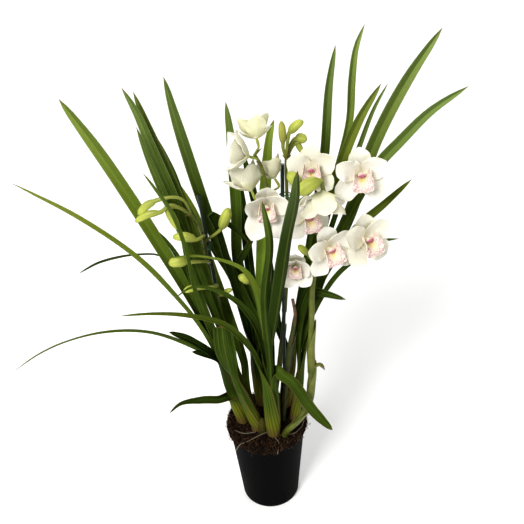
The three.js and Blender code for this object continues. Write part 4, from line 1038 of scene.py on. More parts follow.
# %% Blooms: where each one is and how it faces
BLOOMS = {
    "bloom_right_1": dict(centre=(56, -27, 511), heading=-98, elevation=12, lift=(34, 50, 42), lip=0.74),
    "bloom_right_2": dict(centre=(101, -47, 556), heading=-72, elevation=5, roll=12, size=1.08, lower=1.15),
    "bloom_right_3": dict(centre=(72, -32, 601), heading=-70, elevation=5),
    "bloom_right_4": dict(centre=(152, -36, 558), heading=-62, elevation=15, size=1.15, fresh=0.2),
    "bloom_right_5": dict(centre=(92, -56, 654), heading=-88, elevation=-70, lift=(25, 45, 60), size=1.18,
                          lip=0.55),
    "bloom_right_6": dict(centre=(146, -26, 661), heading=-88, elevation=8, size=1.1, lower=1.15),
    "bloom_right_7": dict(centre=(83, 12, 646), heading=-94, elevation=22, size=1.05, fresh=0.18),
    "bloom_left_1": dict(centre=(18, -27, 619), heading=-90, elevation=4, splay=58, lift=(25, 42, 38),
                         size=1.12, lip=0.85, lower=1.3),
    "bloom_left_2": dict(centre=(31, 17, 638), heading=130, elevation=50, lift=(35, 58, 72), size=0.9,
                         lip=0.55, fresh=0.2),
    "bloom_left_3": dict(centre=(-2, -12, 639), heading=125, elevation=50, lift=(36, 58, 74), size=1.15,
                         lip=0.45),
    "bloom_left_4": dict(centre=(-4, -9, 689), heading=184, elevation=25, lift=(30, 52, 66), size=1.15,
                         lip=0.5),
    "bloom_left_5": dict(centre=(10, 10, 707), heading=100, elevation=40, lift=(26, 48, 62), size=0.95,
                         lip=0.6, fresh=0.4),
}


def bloom_axes(heading, elevation, roll=0, **rest):
    """A bloom's right, up and forward."""
    h, e, turn = (math.radians(angle) for angle in (heading, elevation, roll))
    forward = np.array((math.cos(h) * math.cos(e), math.sin(h) * math.cos(e), math.sin(e)))
    level_right = unit(np.cross((0, 0, 1), forward))
    raised = np.cross(forward, level_right)
    across = level_right * math.cos(turn) + raised * math.sin(turn)
    return across, np.cross(forward, across), forward


# %% [markdown]
# ## Where the spikes run
# A spike has a foot on the mix, the points of its stem, its radii from the foot to the top, and the point on
# the stem where the stalk of each bloom starts. A bud is given by the points of its stalk, of which the last
# two are the bud's own base and tip. A sheath is given by its place along the stem, from 0 to 1.

# %% Spikes: stem, stalks and buds
SPIKES = {
    "spike_right": dict(
        foot=(29, -36),
        stem=[(50, -40, 205), (68, -41, 245), (74, -40, 300), (74, -38, 360), (76, -36, 410), (78, -32, 465),
              (84, -28, 520), (94, -20, 560), (101, -8, 600), (105, -1, 622)],
        radii=(4.6, 4.6, 4.6, 5.6, 5.8, 5.6, 5.2, 4.6, 4.4, 4.2, 3.6, 3, 2.4),
        carries=dict(bloom_right_1=(79, -31, 475), bloom_right_2=(84, -28, 518),
                     bloom_right_3=(93, -21, 556), bloom_right_4=(92, -22, 550),
                     bloom_right_5=(103, -5, 610), bloom_right_6=(102, -6, 605),
                     bloom_right_7=(105, -2, 620)),
        buds=[dict(stalk=[(84, -28, 515), (76, -33, 530), (72, -36, 540), (60, -40, 558)], thick=10)],
        sheaths=(0.13, 0.3, 0.46), curl=[(71, -40, 312), (77, -40, 322), (87, -40, 328), (95, -40, 315)]),
    "spike_middle": dict(
        foot=(14, 24),
        stem=[(30, 26, 300), (43, 28, 450), (48, 28.5, 560), (49, 28.5, 600), (49, 28, 640), (50, 26, 668)],
        radii=(3.8, 3.8, 3.6, 3.2, 3, 2.8, 2.6, 2.4), carries={},
        buds=[dict(stalk=[(50, 26, 660), (46, 26, 676), (46, 26, 684), (45, 26, 718)], thick=10, brown=0.35),
              dict(stalk=[(50, 26, 666), (53, 26, 690), (55, 26, 700), (74, 26, 717)], thick=12),
              dict(stalk=[(50, 27, 660), (58, 36, 678), (64, 37, 684), (79, 37, 681)], thick=14),
              dict(stalk=[(50, 27, 658), (60, 37, 673), (66, 37, 678), (73, 37, 661)], thick=8),
              dict(stalk=[(49, 28, 590), (60, 0, 604), (76, -34, 640), (89, -58, 674), (88, -70, 682),
                          (59, -76, 668)], thick=18),
              dict(stalk=[(49, 28, 585), (54, 4, 602), (60, -22, 634), (64, -33, 652), (50, -35, 675)],
                   thick=16)],
        sheaths=(0.3, 0.55)),
    "spike_left": dict(
        foot=(6, 10),
        stem=[(8, 6, 300), (14, 0, 450), (20, -4, 554), (20.5, -4, 606), (20, -4, 634), (17, -4, 657),
              (12, -4, 676), (6, -5, 688)],
        radii=(3.8, 3.8, 3.6, 3.4, 3, 2.8, 2.4, 2.2),
        carries=dict(bloom_left_1=(20, -4, 640), bloom_left_2=(20, -4, 620), bloom_left_3=(20, -4, 600),
                     bloom_left_4=(13, -4, 672), bloom_left_5=(6, -5, 687)),
        buds=[dict(stalk=[(14, 0, 440), (0, 0, 456), (-12, 0, 466), (-28, -2, 480)], thick=13)],
        sheaths=(0.3, 0.55)),
    "spike_buds": dict(
        foot=(-26, 30),
        stem=[(-50, 20, 300), (-66, 22, 415), (-74, 26, 458), (-73.5, 27, 489), (-74.5, 26, 519),
              (-76, 16, 548), (-80, 2, 578), (-87, -9, 600)],
        radii=(3.8, 3.8, 3.8, 3.8, 3.6, 3.4, 3.2, 3, 2.4), carries={},
        buds=[dict(stalk=[(-86, -8, 598), (-95, -16, 630), (-108, -17, 636), (-132, -17, 632),
                          (-158, -17, 611)], thick=11),
              dict(stalk=[(-86, -8, 598), (-100, -20, 620), (-112, -22, 627), (-127, -22, 616),
                          (-163, -22, 603)], thick=10),
              dict(stalk=[(-86, -8, 598), (-104, -16, 618), (-118, -18, 621), (-106, -18, 583)], thick=12),
              dict(stalk=[(-76, 18, 543), (-73, -6, 560), (-83, -18, 563), (-115, -18, 570)], thick=13),
              dict(stalk=[(-75, 23, 530), (-61, 17, 543), (-48, 15, 556), (-35, 15, 590)], thick=15),
              dict(stalk=[(-73.5, 26, 484), (-70, 4, 506), (-84, -18, 524), (-99, -20, 526),
                          (-125, -20, 525)], thick=15),
              dict(stalk=[(-72, 25, 446), (-62, 8, 458), (-64, -12, 472), (-87, -20, 477), (-109, -20, 473)],
                   thick=10),
              dict(stalk=[(-70, 24, 436), (-64, 12, 436), (-54, 10, 438), (-40, 9, 447)], thick=8)],
        sheaths=(0.3, 0.5)),
}


# %% A spike's stem, sheaths and bracts
STEM_ROWS, STEM_SIDES, STEM_SLIM = 90, 16, 0.96
SHEATH_ROWS, SHEATH_COLS, SHEATH_THICK, SHEATH_LENGTH, SHEATH_LEAD = 16, 13, 0.7, 0.2, 0.08
BRACT_ROWS, BRACT_COLS, BRACT_HALF, BRACT_THICK = 8, 7, 3.6, 0.6
STALK_BRACT, BUD_BRACT = 13, 9


def stem_path(foot, stem):
    """The curve of a spike, from its foot in the mix."""
    return smooth_path([(*foot, z) for z in (MIX_TOP - ROOT_DEPTH, MIX_TOP - 6, FOOT_TOP)] + list(stem))


def add_sheath(piece, path, radii, start):
    """A thin sleeve round a stem, from this share of its length up, with a free pointed tip."""
    shares = np.linspace(start, min(start + SHEATH_LENGTH, 0.98), SHEATH_ROWS)
    s = np.linspace(0, 1, SHEATH_ROWS)
    core = spaced(path, shares)
    tangents = unit(np.gradient(core, axis=0))
    side = unit(np.cross(tangents, (0.3, -1, 0.1)))
    other = np.cross(tangents, side)
    u = np.linspace(-1, 1, SHEATH_COLS)
    clasp = (math.pi * np.interp(s, (0, 0.45, 0.8, 1), (0.98, 0.9, 0.45, 0.04)))[:, None, None] * u[:, None]
    wide = (spread(radii, shares) + 0.9 + 1.6 * ease(0.4, 1, s))[:, None, None]
    surface = core[:, None] + wide * (np.cos(clasp) * side[:, None] + np.sin(clasp) * other[:, None])
    piece.loft(sheet_rings(surface[:, ::-1], SHEATH_THICK), sheet_u(SHEATH_COLS), s, bright=0.25 * s,
               brown=0.7 * ease(0.75, 1, s))


def add_bract(piece, base, toward, length):
    """A small pointed scale under a stalk."""
    run = unit(toward - base)
    s, u = np.linspace(0, 1, BRACT_ROWS), np.linspace(-1, 1, BRACT_COLS)
    side = unit(np.cross(run, (0.2, 0.3, 1)))
    below = np.cross(run, side)
    below = below if below[2] < 0 else -below
    half = (BRACT_HALF * np.sqrt(np.clip(1 - s, 0, 1)) + 0.1)[:, None]
    core = base + np.outer(s * length, run) + np.outer(2.2 + 2.5 * s, below)
    surface = core[:, None] + (u * half)[..., None] * side - (u ** 2 * half * 0.6)[..., None] * below
    piece.loft(sheet_rings(surface, BRACT_THICK), sheet_u(BRACT_COLS), s, bright=0.1,
               brown=0.35 + 0.5 * ease(0.5, 1, s))


def add_curl(piece, points):
    """A dry bract that has rolled up into a flat horn."""
    rings = tube_along(points, (1.5, 3.6, 3.8, 3.2, 0.5), 24, 10)
    spine = rings.mean(axis=1, keepdims=True)
    piece.loft(spine + (rings - spine) * (1, 1, 0.45), brown=0.3 * np.linspace(0, 1, 24))


# %% Flower stalks and buds
STALK_ROWS, STALK_SIDES, STALK_RADII = 22, 10, (1.2, 1, 1, 1.1, 1.45, 1.2)
BUD_STALK_ROWS, BUD_STALK_RADII = 20, (1.45, 1.35, 1.55, 2.1)
BUD_ROWS, BUD_SIDES, BUD_SWELL = 20, 18, 1.1
BUD_PROFILE = (0.42, 0.74, 0.92, 1.0, 1.03, 1.0, 0.96, 0.88, 0.7, 0.34)


def add_stalk(piece, start, bloom):
    """The stalk of a bloom, which thickens into the ovary behind it."""
    start, forward = np.array(start), bloom_axes(**bloom)[2]
    end = np.array(bloom["centre"]) - forward * (HUB_BACK + GAP)
    bend = end - forward * 12
    points = [start, start + (bend - start) * 0.6, bend, end]
    rings = tube_along(points, np.array(STALK_RADII) * PEDICEL_RADIUS, STALK_ROWS, STALK_SIDES, ribs=3,
                       rib_depth=0.12)
    piece.loft(rings, bright=np.linspace(0.15, 0.55, STALK_ROWS))
    add_bract(piece, points[0], points[1], STALK_BRACT)


def add_bud(piece, stalk, thick, brown=0.0):
    """A bud at the end of its stalk: plump, arched unless it stands steep, with three seams."""
    *points, tip = np.array(stalk, float)
    base, run = points[-1], tip - points[-1]
    length = np.linalg.norm(run)
    arch = np.array((0, 0, 0.10 if abs(run[2]) < 0.8 * length else 0.0)) * length
    t = np.linspace(0, 1, BUD_ROWS)
    radii = spread(BUD_PROFILE, t) * thick / 2 * BUD_SWELL
    path = smooth_path([base, base + run * 0.5 + arch, tip])
    bright = 0.55 + 0.4 * ease(0.1, 0.8, t) - 0.25 * ease(0.85, 1, t)
    piece.loft(tube_rings(spaced(path, t), radii, BUD_SIDES, ribs=3, rib_depth=0.10), bright=bright,
               brown=brown * (0.4 + 0.6 * t))
    inside = base + run * 0.2 + arch * 0.5
    rings = tube_along([*points, inside], np.array(BUD_STALK_RADII) * PEDICEL_RADIUS, BUD_STALK_ROWS,
                       STALK_SIDES)
    piece.loft(rings, bright=np.linspace(0.15, 0.5, BUD_STALK_ROWS))
    add_bract(piece, points[0], points[1], BUD_BRACT)


# %% A whole spike
def spike_piece(name, foot, stem, radii, carries, buds, sheaths, material, curl=None):
    """A spike with its stem, sheaths, stalks, bracts and buds."""
    piece = Piece("bright", "brown")
    path = stem_path(foot, stem)
    t = np.linspace(0, 1, STEM_ROWS)
    rings = tube_rings(spaced(path, t), spread(radii, t) * STEM_SLIM, STEM_SIDES)
    piece.loft(rings, v=t * 3, bright=0.12 * t)
    for start in sheaths:
        add_sheath(piece, path, radii, start - SHEATH_LEAD)
    for bloom, start in carries.items():
        add_stalk(piece, start, BLOOMS[bloom])
    for bud in buds:
        add_bud(piece, **bud)
    if curl:
        add_curl(piece, curl)
    return piece.finish(name + "_stem", material, [name])


spike_material = spike_skin()
for spike_name, spike in SPIKES.items():
    spike_piece(spike_name, material=spike_material, **spike)

# %% [markdown]
# ## The old spike
# Last year's spike was cut off. Its end has dried to brown, while the stub below is still green. The same
# lofts make it, and only the skin is different: matt, and grooved along its length.

# %% Dried stub
DRY_DARK, DRY_LIGHT = (0.085, 0.045, 0.020, 1), (0.300, 0.190, 0.100, 1)
OLD_FOOT, OLD_STEM = (28, -2), [(36, -6, 260), (44, -10, 345), (53, -12, 405), (50, -12, 438)]
OLD_RADII = (3.4, 3.4, 3.2, 3.2, 4.2, 4.0, 3, 2.4)
OLD_ROWS, OLD_SIDES, OLD_SHEATH = 60, 14, 0.55


def dried_skin():
    """Green that has dried to brown where the mark says so, grooved along its length."""
    material, tree, body, surface = skin("dried_stem", Roughness=0.85)
    clouds = use(tree, blotches, Vector=body, Scale=60.0)["Mask"]
    grooves = use(tree, lines, Vector=surface, Count=12.0, Waver=1.2)["Height"]
    light = maths(tree, "MULTIPLY_ADD", clouds, 0.6, times(tree, grooves, 0.3))
    colour = mixed(tree, mark(tree, "brown"), STEM_GREEN, mixed(tree, light, DRY_DARK, DRY_LIGHT))
    return dressed(material, colour, grooves, 0.6, 0.0008)


def old_spike_piece():
    """The ribbed stub, still green where it comes out of the mix, and its sheath."""
    stub = Piece("bright", "brown")
    path = stem_path(OLD_FOOT, OLD_STEM)
    t = np.linspace(0, 1, OLD_ROWS)
    rings = tube_rings(spaced(path, t), spread(OLD_RADII, t), OLD_SIDES, ribs=7, rib_depth=0.08)
    stub.loft(rings, brown=0.1 + 0.9 * ease(0.8, 0.95, t))
    add_sheath(stub, path, OLD_RADII, OLD_SHEATH)
    return stub.finish("old_spike_stub", dried_skin(), ["old_spike"])


old_spike_piece()

# %% [markdown]
# ## Blooms
# A cymbidium bloom has three sepals behind and two petals before them, all broad and waxy, and a lip. Each
# tepal is a cupped sheet with a round end and edges that wander a little, no two alike. The skin is white,
# greener at the base and on the back, with veins that show as faint lines.

# %% Petal material
PETAL_WHITE, PETAL_BACK = (0.755, 0.745, 0.705, 1), (0.660, 0.645, 0.520, 1)
PETAL_BASE, PETAL_BLUSH = (0.620, 0.610, 0.290, 1), (0.690, 0.500, 0.550, 1)
PETAL_VEIN = (0.640, 0.570, 0.530, 1)
PETAL_CLOUDS, BACK_COAT, PETAL_VEINS = 0.32, 0.75, 0.26


def petal_skin():
    """Waxy white with faint veins, greenish or blushed where the marks say so."""
    material, tree, body, surface = skin(
        "petal_skin", Roughness=0.5, Subsurface_Weight=0.25, Subsurface_Scale=0.003,
        Subsurface_Radius=(1.0, 0.9, 0.7))
    clouds = use(tree, blotches, Vector=body, Scale=34.0)["Mask"]
    veins = use(tree, lines, Vector=surface, Count=11.0, Waver=1.1)["Height"]
    colour = coated(tree, mixed(tree, times(tree, clouds, PETAL_CLOUDS), PETAL_WHITE, PETAL_BACK), [
        (times(tree, mark(tree, "under"), BACK_COAT), PETAL_BACK),
        (times(tree, veins, PETAL_VEINS), PETAL_VEIN),
        (mark(tree, "green"), PETAL_BASE),
        (mark(tree, "blush"), PETAL_BLUSH),
    ])
    return dressed(material, colour, veins, 0.3, 0.0004)


# %% One tepal
TEPAL_OUTLINE = (0.45, 0.84, 1.04, 1.13, 1.17, 1.17, 1.13, 1.04, 0.90, 0.70)
TEPAL_ROWS, TEPAL_COLS, ROUND_FROM, CREASE_DEPTH = 30, 17, 0.68, 0.35
# How far, in degrees, one tepal strays from the next in its place, its lift and its twist
STRAY_ANGLE, STRAY_LIFT, STRAY_TWIST = 2.5, 3, 9
BASE_BLUSH, BACK_GREENER = 0.12, 0.18


def tepal_lines(centre, axes, angle, length, lift, t, stray):
    """A tepal's middle line, which bends forward, and the ways across it and out of its face."""
    across, up, forward = axes
    a = math.radians(angle + STRAY_ANGLE * stray[0])
    radial = across * math.cos(a) + up * math.sin(a)
    side = up * math.cos(a) - across * math.sin(a)
    rise = np.radians(spread(lift, t) + STRAY_LIFT * stray[1])[:, None]
    ahead = radial * np.cos(rise) + forward * np.sin(rise)
    face = forward * np.cos(rise) - radial * np.sin(rise)
    twist = np.radians(STRAY_TWIST * stray[2] * t ** 1.5)[:, None]
    side, face = side * np.cos(twist) + face * np.sin(twist), face * np.cos(twist) - side * np.sin(twist)
    steps = ahead[1:] * length * 1.04 / (len(t) - 1)
    spine = centre + radial * TEPAL_START + np.vstack([np.zeros(3), np.cumsum(steps, axis=0)])
    return spine, side, face


def tepal_relief(t, u, cup, waves):
    """How far a tepal stands off its middle line: cupped, with edges that wander."""
    wander = 0.10 * np.sin(t * 7 + waves[0]) * u ** 3 + 0.08 * np.sin(t * 12 + waves[1] + 2 * u) * u ** 2
    return cup * np.abs(u) ** 1.7 - 0.14 * ease(0.7, 1, t) * u ** 2 + wander * ease(0.1, 0.5, t)


def add_tepal(piece, centre, axes, angle, length, width, lift, cup, green, fresh):
    """A cupped blade that leaves the hub at an angle round it and bends forward."""
    stray = chance.normal(0, 1, 3)
    waves = chance.uniform(0, FULL_TURN, 2)
    t, u = np.linspace(0, 1, TEPAL_ROWS), np.linspace(-1, 1, TEPAL_COLS)
    spine, side, face = tepal_lines(centre, axes, angle, length, lift, t, stray)
    end = (1 - np.clip((t - ROUND_FROM) / (1 - ROUND_FROM), 0, 0.998) ** 2) ** 0.6
    half = (width / 2 * spread(TEPAL_OUTLINE, t) * end)[:, None]
    t_down = t[:, None]
    crease = CREASE_DEPTH * np.exp(-(u / 0.10) ** 2) * (1 - t_down)
    out_of_face = tepal_relief(t_down, u, cup, waves) * half - crease
    surface = spine[:, None] + side[:, None] * (u * half)[..., None] + face[:, None] * out_of_face[..., None]
    blank = np.zeros((TEPAL_ROWS, TEPAL_COLS))
    tint = blank + fresh + (green - fresh) * (1 - ease(0, 0.45, t_down))
    blush = blank + BASE_BLUSH * (1 - ease(0.1, 0.7, t_down))
    piece.loft(sheet_rings(surface, TEPAL_THICK * tapered(TEPAL_ROWS, 0.4)), sheet_u(TEPAL_COLS), t,
               green=two_sides(tint, tint + BACK_GREENER * green), under=two_sides(blank, blank + 1),
               blush=two_sides(blush, blank))


# %% A whole bloom
HUB_SHARES, HUB_SIDES = (0.35, 0.52, 0.7, 0.85, 0.95, 0.95, 0.85, 0.68, 0.4), 18
SEPAL_GREEN, PETAL_GREEN, HUB_GREEN, SEPAL_CUP, SEPAL_FLATTER = 0.62, 0.5, 0.7, 0.6, 5


def bloom_piece(name, centre, heading, elevation, material, roll=0, size=1, lift=FLAT_LIFT, lower=1,
                splay=SPLAY, fresh=0.09, **rest):
    """Five tepals round a small hub: the upper sepal, both petals before it, and the two lower sepals."""
    axes = bloom_axes(heading, elevation, roll)
    centre, forward, lift = np.array(centre, float), axes[2], np.array(lift, float)
    piece = Piece("green", "under", "blush")
    wide, cup = TEPAL_WIDTH * size, PETAL_CUP + CUP_GAIN * lift[1]
    sepal = dict(length=TEPAL_LENGTH * size, width=wide, lift=lift - SEPAL_FLATTER, cup=cup * SEPAL_CUP,
                 green=SEPAL_GREEN, fresh=fresh)
    upper, hanging = dict(sepal, width=wide * 0.9), dict(sepal, length=sepal["length"] * lower)
    petal = dict(sepal, width=wide * 0.96, lift=lift, cup=cup, green=PETAL_GREEN)
    behind, before = centre - forward * PETAL_AHEAD, centre + forward * PETAL_AHEAD
    for root, angle, tepal in ((behind, 90, upper), (before, 30, petal), (before, 150, petal),
                               (behind, -splay, hanging), (behind, splay - 180, hanging)):
        add_tepal(piece, root, axes, angle, **tepal)
    hub = [centre + forward * f for f in np.linspace(-HUB_BACK, HUB_FRONT, len(HUB_SHARES))]
    piece.loft(tube_rings(hub, HUB_RADIUS * np.array(HUB_SHARES), HUB_SIDES), green=HUB_GREEN)
    return piece.finish(name + "_tepals", material, [name])


petal_material = petal_skin()
for bloom_name, bloom in BLOOMS.items():
    bloom_piece(bloom_name, material=petal_material, **bloom)

# %% [markdown]
# ## Lips and columns
# The lip is the showy part. Its side lobes stand up round the column, two yellow ridges run down its
# middle, and its front lobe rolls down with a ruffled, speckled edge. The column arches over it and ends in
# a magenta cap. Marks place the colours, and a Voronoi pattern on the UV map makes the speckles.

# %% Lip material
LIP_CREAM, LIP_YELLOW = (0.720, 0.660, 0.530, 1), (0.700, 0.570, 0.250, 1)
LIP_TINT, LIP_PINK = (0.640, 0.450, 0.500, 1), (0.440, 0.160, 0.260, 1)
CAP_MAGENTA = (0.380, 0.095, 0.170, 1)
SPECKLE_CELLS, SPECKLE_SIZE, TINT_COAT = (19, 20, 1), (0.30, 0.46), 0.3


def lip_skin():
    """Cream with yellow ridges, pink speckles near the edge and a magenta cap."""
    material, tree, body, surface = skin(
        "lip_skin", Roughness=0.45, Subsurface_Weight=0.2, Subsurface_Scale=0.003,
        Subsurface_Radius=(1.0, 0.7, 0.5))
    cells = place(tree, "ShaderNodeMapping", Vector=surface, Scale=SPECKLE_CELLS).outputs[0]
    dots = place(tree, "ShaderNodeTexVoronoi", Vector=cells, Scale=1.0, Randomness=1.0).outputs["Distance"]
    speckle = maths(tree, "SUBTRACT", 1.0, ramp(tree, dots, *SPECKLE_SIZE))
    colour = coated(tree, mixed(tree, mark(tree, "yellow"), LIP_CREAM, LIP_YELLOW), [
        (times(tree, mark(tree, "spot"), TINT_COAT), LIP_TINT),
        (times(tree, speckle, mark(tree, "spot")), LIP_PINK),
        (mark(tree, "cap"), CAP_MAGENTA),
    ])
    return dressed(material, colour, use(tree, grain, Vector=body, Scale=1300.0)["Height"], 0.25, 0.0003)


# %% The lobes of a lip
LIP_ROWS, LIP_COLS = 34, 25
# From root to tip: how steeply the lip goes down, its width, and how far its side lobes stand up
LIP_DIP, LIP_OUTLINE = (15, 8, 50, 105), (0.35, 0.7, 0.92, 1.0, 0.95, 0.98, 1.02, 0.88, 0.5)
LOBES_UP, LOBES_IN = (0.2, 0.75, 1.0, 0.95, 0.65, 0.4, 0.2, 0.05, -0.05), 0.35
RIDGE_HEIGHT, RIDGE_OFF, RIDGE_HALF, RUFFLE = 0.9, 0.13, 0.06, 0.13


def lip_surface(start, axes, scale, t, u):
    """The upper face of the lip as a grid, and how high its two ridges are."""
    across, up, forward = axes
    dip = np.radians(spread(LIP_DIP, t))
    step = LIP_LENGTH / (len(t) - 1)
    ahead = 0.5 + np.concatenate([[0], np.cumsum(step * np.cos(dip[1:]))])
    down = -1 - np.concatenate([[0], np.cumsum(step * np.sin(dip[1:]))])
    face = np.cos(dip)[:, None] * up + np.sin(dip)[:, None] * forward
    half = (LIP_WIDTH / 2 * spread(LIP_OUTLINE, t))[:, None]
    lobes = spread(LOBES_UP, t)[:, None]
    ruffle = RUFFLE * ease(0.25, 0.6, t)[:, None] * np.sin(u * 9 + t[:, None] * 19) * np.abs(u) ** 2
    ridges = RIDGE_HEIGHT * sum(np.exp(-((u - side) / RIDGE_HALF) ** 2) for side in (RIDGE_OFF, -RIDGE_OFF))
    ridges = ridges * (ease(0.05, 0.2, t) * (1 - ease(0.5, 0.62, t)))[:, None]
    sideways = u * half * (1 - LOBES_IN * (lobes * np.abs(u) ** 3))
    out_of_face = half * (lobes * np.abs(u) ** 1.6 + ruffle) + ridges
    middle = start + scale * (ahead[:, None] * forward + down[:, None] * up)
    relief = sideways[..., None] * across + face[:, None] * out_of_face[..., None]
    return middle[:, None] + scale * relief, ridges


def add_lobes(piece, start, axes, scale):
    """The lip itself, gold on its ridges and in its throat, speckled towards its edges."""
    t, u = np.linspace(0, 1, LIP_ROWS), np.linspace(-1, 1, LIP_COLS)
    surface, ridges = lip_surface(start, axes, scale, t, u)
    edge = ease(0.15, 0.75, np.abs(u)) + ease(0.55, 0.95, t)[:, None]
    spot = np.clip(edge * ease(0.05, 0.4, t)[:, None] * 1.3, 0, 1)
    throat = (1 - ease(0.45, 0.8, t))[:, None] * (1 - ease(0.2, 0.6, np.abs(u)))
    gold = np.clip(ridges / RIDGE_HEIGHT, 0, 1) * 0.8 + 0.5 * throat
    piece.loft(sheet_rings(surface, TEPAL_THICK * scale), sheet_u(LIP_COLS), t,
               yellow=two_sides(gold, gold * 0.3), spot=two_sides(spot, spot * 0.35))


# %% The column, and a whole lip
COLUMN_ROWS, COLUMN_SIDES, CAP_WIDER = 18, 18, 0.35
COLUMN_ARCH = ((0.8, 1.0), (COLUMN_LENGTH * 0.5, 3.0), (COLUMN_LENGTH * 0.85, 3.0), (COLUMN_LENGTH, 1.6))
COLUMN_SHARES = (0.95, 0.9, 0.9, 1.0, 1.1, 1.15, 0.9, 0.25)


def add_column(piece, start, axes, scale):
    """The column that arches over the lip. It gets wider sideways towards its cap."""
    across, up, forward = axes
    s = np.linspace(0, 1, COLUMN_ROWS)
    spine = spaced(smooth_path([start + scale * (forward * x + up * y) for x, y in COLUMN_ARCH]), s)
    rings = tube_rings(spine, spread(COLUMN_SHARES, s) * COLUMN_RADIUS * scale, COLUMN_SIDES)
    sideways = (rings - spine[:, None]) @ across
    wider = sideways * (CAP_WIDER * ease(0.3, 0.8, s))[:, None]
    piece.loft(rings + wider[..., None] * across, cap=ease(0.78, 0.88, s), yellow=0.15,
               spot=0.5 * ease(0.3, 0.6, s))


def lip_piece(name, centre, heading, elevation, material, roll=0, size=1, lip=1, **rest):
    """The lip, its ridges and the column over it."""
    axes = bloom_axes(heading, elevation, roll)
    start = np.array(centre, float) + axes[2] * (HUB_FRONT + GAP)
    piece = Piece("yellow", "spot", "cap")
    add_lobes(piece, start, axes, size * lip)
    add_column(piece, start, axes, size * lip)
    return piece.finish(name + "_lobes", material, [name])


lip_material = lip_skin()
for bloom_name, bloom in BLOOMS.items():
    lip_piece(bloom_name.replace("bloom", "lip"), material=lip_material, **bloom)

# %% [markdown]
# ## Stakes, ties and creeping roots
# Each stake is a straight green plastic rod with a flat top. A tie is plastic-coated wire, looped round
# stake and stem and twisted shut. A root creeps over the mix like a thin pale cord. All of them follow a
# path, so one Geometry Nodes tree sweeps a round section along a line of points, thick or thin as asked.

# %% Stake plastic and tie wire
STAKE_DARK, STAKE_LIGHT = (0.005, 0.020, 0.008, 1), (0.011, 0.038, 0.015, 1)
TIE_DARK, TIE_LIGHT = (0.020, 0.080, 0.040, 1), (0.040, 0.140, 0.070, 1)


def green_plastic(name, dark, light, rough):
    """Green plastic, worn lighter in patches, with a faint grain."""
    material, tree, body, _ = skin(name, Roughness=rough)
    worn = times(tree, use(tree, blotches, Vector=body, Scale=90.0)["Mask"], 0.5)
    height = use(tree, grain, Vector=body, Scale=800.0)["Height"]
    return dressed(material, mixed(tree, worn, dark, light), height, 0.2, 0.0003)


stake_material = green_plastic("stake_plastic", STAKE_DARK, STAKE_LIGHT, 0.4)
tie_material = green_plastic("tie_wire", TIE_DARK, TIE_LIGHT, 0.45)

# %% Geometry Nodes: a round section swept along a line
sweep, takes, gives = geometry_tree("swept_line", {"Radius": 0.001, "Tip": 1.0, "Sides": 12, "Rows": 40})
wire = place(sweep, "GeometryNodeMeshToCurve", Mesh=takes["Geometry"]).outputs[0]
wire = place(sweep, "GeometryNodeResampleCurve", Curve=wire, Count=takes["Rows"]).outputs[0]
share = sweep.nodes.new("GeometryNodeSplineParameter").outputs["Factor"]
thin = place(sweep, "ShaderNodeMapRange", Value=share, To_Min=1.0, To_Max=takes["Tip"]).outputs[0]
wire = place(sweep, "GeometryNodeSetCurveRadius", Curve=wire, Radius=thin).outputs[0]
section = place(sweep, "GeometryNodeCurvePrimitiveCircle", Resolution=takes["Sides"],
                Radius=takes["Radius"]).outputs[0]
solid = place(sweep, "GeometryNodeCurveToMesh", Curve=wire, Profile_Curve=section, Fill_Caps=True).outputs[0]
real = place(sweep, "GeometryNodeRealizeInstances", Geometry=solid).outputs[0]
painted = place(sweep, "GeometryNodeSetMaterial", Geometry=real, Material=stake_material).outputs[0]
sweep.links.new(painted, gives["Geometry"])
print("sweep inputs:", [item.name for item in sweep.interface.items_tree if item.in_out == "INPUT"])


# %% Pieces swept along lines
def swept(name, paths, material, slot, nodes=(), **sizes):
    """Lines of points, in millimetres, as one swept piece."""
    points, edges = [], []
    for path in paths:
        first = len(points)
        points += (np.asarray(path) * MM).tolist()
        edges += [(first + i, first + i + 1) for i in range(len(path) - 1)]
    mesh = bpy.data.meshes.new(name + "_line")
    mesh.from_pydata(points, edges, [])
    line = linked(name + "_line", mesh)
    result = set_in_place(name, grown(line, sweep, **sizes), material, nodes)
    bpy.data.objects.remove(line)
    return result


# %% Stakes
STAKES = {
    "stake_middle": ((30, 12, MIX_TOP - ROOT_DEPTH), (44, 30, 649)),
    "stake_left": ((-44, 28, MIX_TOP - ROOT_DEPTH), (-77, 35, 604)),
}
for stake_name, ends in STAKES.items():
    swept(stake_name + "_rod", [ends], stake_material, "stake", [stake_name], Radius=STAKE_RADIUS * MM,
          Rows=4, Sides=16)

# %% Ties
WIRE_RADIUS, ENDS_LENGTH, ENDS_APART, ENDS_TURNS, LOOP_SWAY = 0.8, 9, 0.9, 2, 0.6
TIES = {
    "tie_middle": dict(middle=(46, 28.5), reach=7.6, depth=4.4, turn=0, level=600),
    "tie_left": dict(middle=(-73.4, 28.9), reach=11.2, depth=6.6, turn=66, level=519),
}


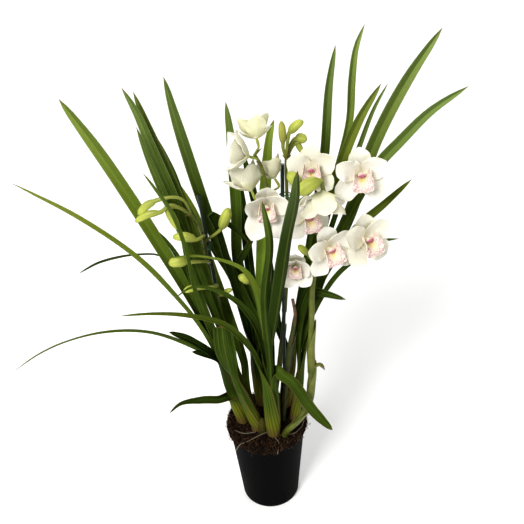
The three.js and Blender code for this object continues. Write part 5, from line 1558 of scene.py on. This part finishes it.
def tie_paths(middle, reach, depth, turn, level):
    """The loop of a tie round stake and stem, and its two ends, twisted round each other."""
    a, turn = np.linspace(0, 2 * np.pi, 60), math.radians(turn)
    x, y = reach * np.cos(a), depth * np.sin(a)
    loop = np.column_stack([middle[0] + x * math.cos(turn) - y * math.sin(turn),
                            middle[1] + x * math.sin(turn) + y * math.cos(turn),
                            level + LOOP_SWAY * np.sin(a * 2)])
    s = np.linspace(0, 1, 40)
    ends = []
    for phase in (0, math.pi):
        twist = s * ENDS_TURNS * 2 * math.pi + phase
        ends.append(np.column_stack([middle[0] + reach * 0.2 + ENDS_APART * np.cos(twist) + 3 * s,
                                     middle[1] - depth - 1 - ENDS_LENGTH * s,
                                     level + ENDS_APART * np.sin(twist) + 3 * s]))
    return [loop, *ends]


for tie_name, tie in TIES.items():
    swept(tie_name + "_wire", tie_paths(**tie), tie_material, "tie", [tie_name], Radius=WIRE_RADIUS * MM,
          Rows=90, Sides=8)

# %% Roots that creep over the mix
ROOT_RADIUS, ROOT_TIP = 0.8, 0.5
CREEPING_ROOTS = [
    [(2, -30, 172), (-14, -38, 173), (-34, -48, 171), (-46, -52, 169.5), (-54, -57, 160)],
    [(30, -38, 171), (44, -36, 171), (57, -22, 171), (62, -8, 170)],
    [(12, -42, 170), (17, -52, 169), (16, -62, 168), (14, -67, 158)],
    [(-20, -28, 171), (-38, -30, 171), (-54, -22, 171)],
    [(-30, 24, 171), (-46, 34, 171), (-56, 32, 170)],
    [(20, 48, 171), (34, 52, 170), (44, 46, 170)],
]
swept("creeping_roots", [smooth_path(root, 10) for root in CREEPING_ROOTS], root_material, "potting_mix",
      Radius=ROOT_RADIUS * MM, Tip=ROOT_TIP, Rows=40, Sides=8)

# %% [markdown]
# ## Floor
# The floor is a plain pale sheet, much larger than the view. It isn't part of the object, so it is staged.

# %% Floor
FLOOR_HALF, FLOOR_DROP = 6, 0.0005
FLOOR_WHITE = (0.93, 0.93, 0.93, 1)
floor_mesh = bpy.data.meshes.new("floor")
corners = [(x * FLOOR_HALF, y * FLOOR_HALF, -FLOOR_DROP) for x, y in ((-1, -1), (1, -1), (1, 1), (-1, 1))]
floor_mesh.from_pydata(corners, [], [(0, 1, 2, 3)])
floor_material = skin("floor_white", Roughness=0.9, Specular_IOR_Level=0.1, Base_Color=FLOOR_WHITE)[0]
floor_mesh.materials.append(floor_material)
floor = linked("floor", floor_mesh)
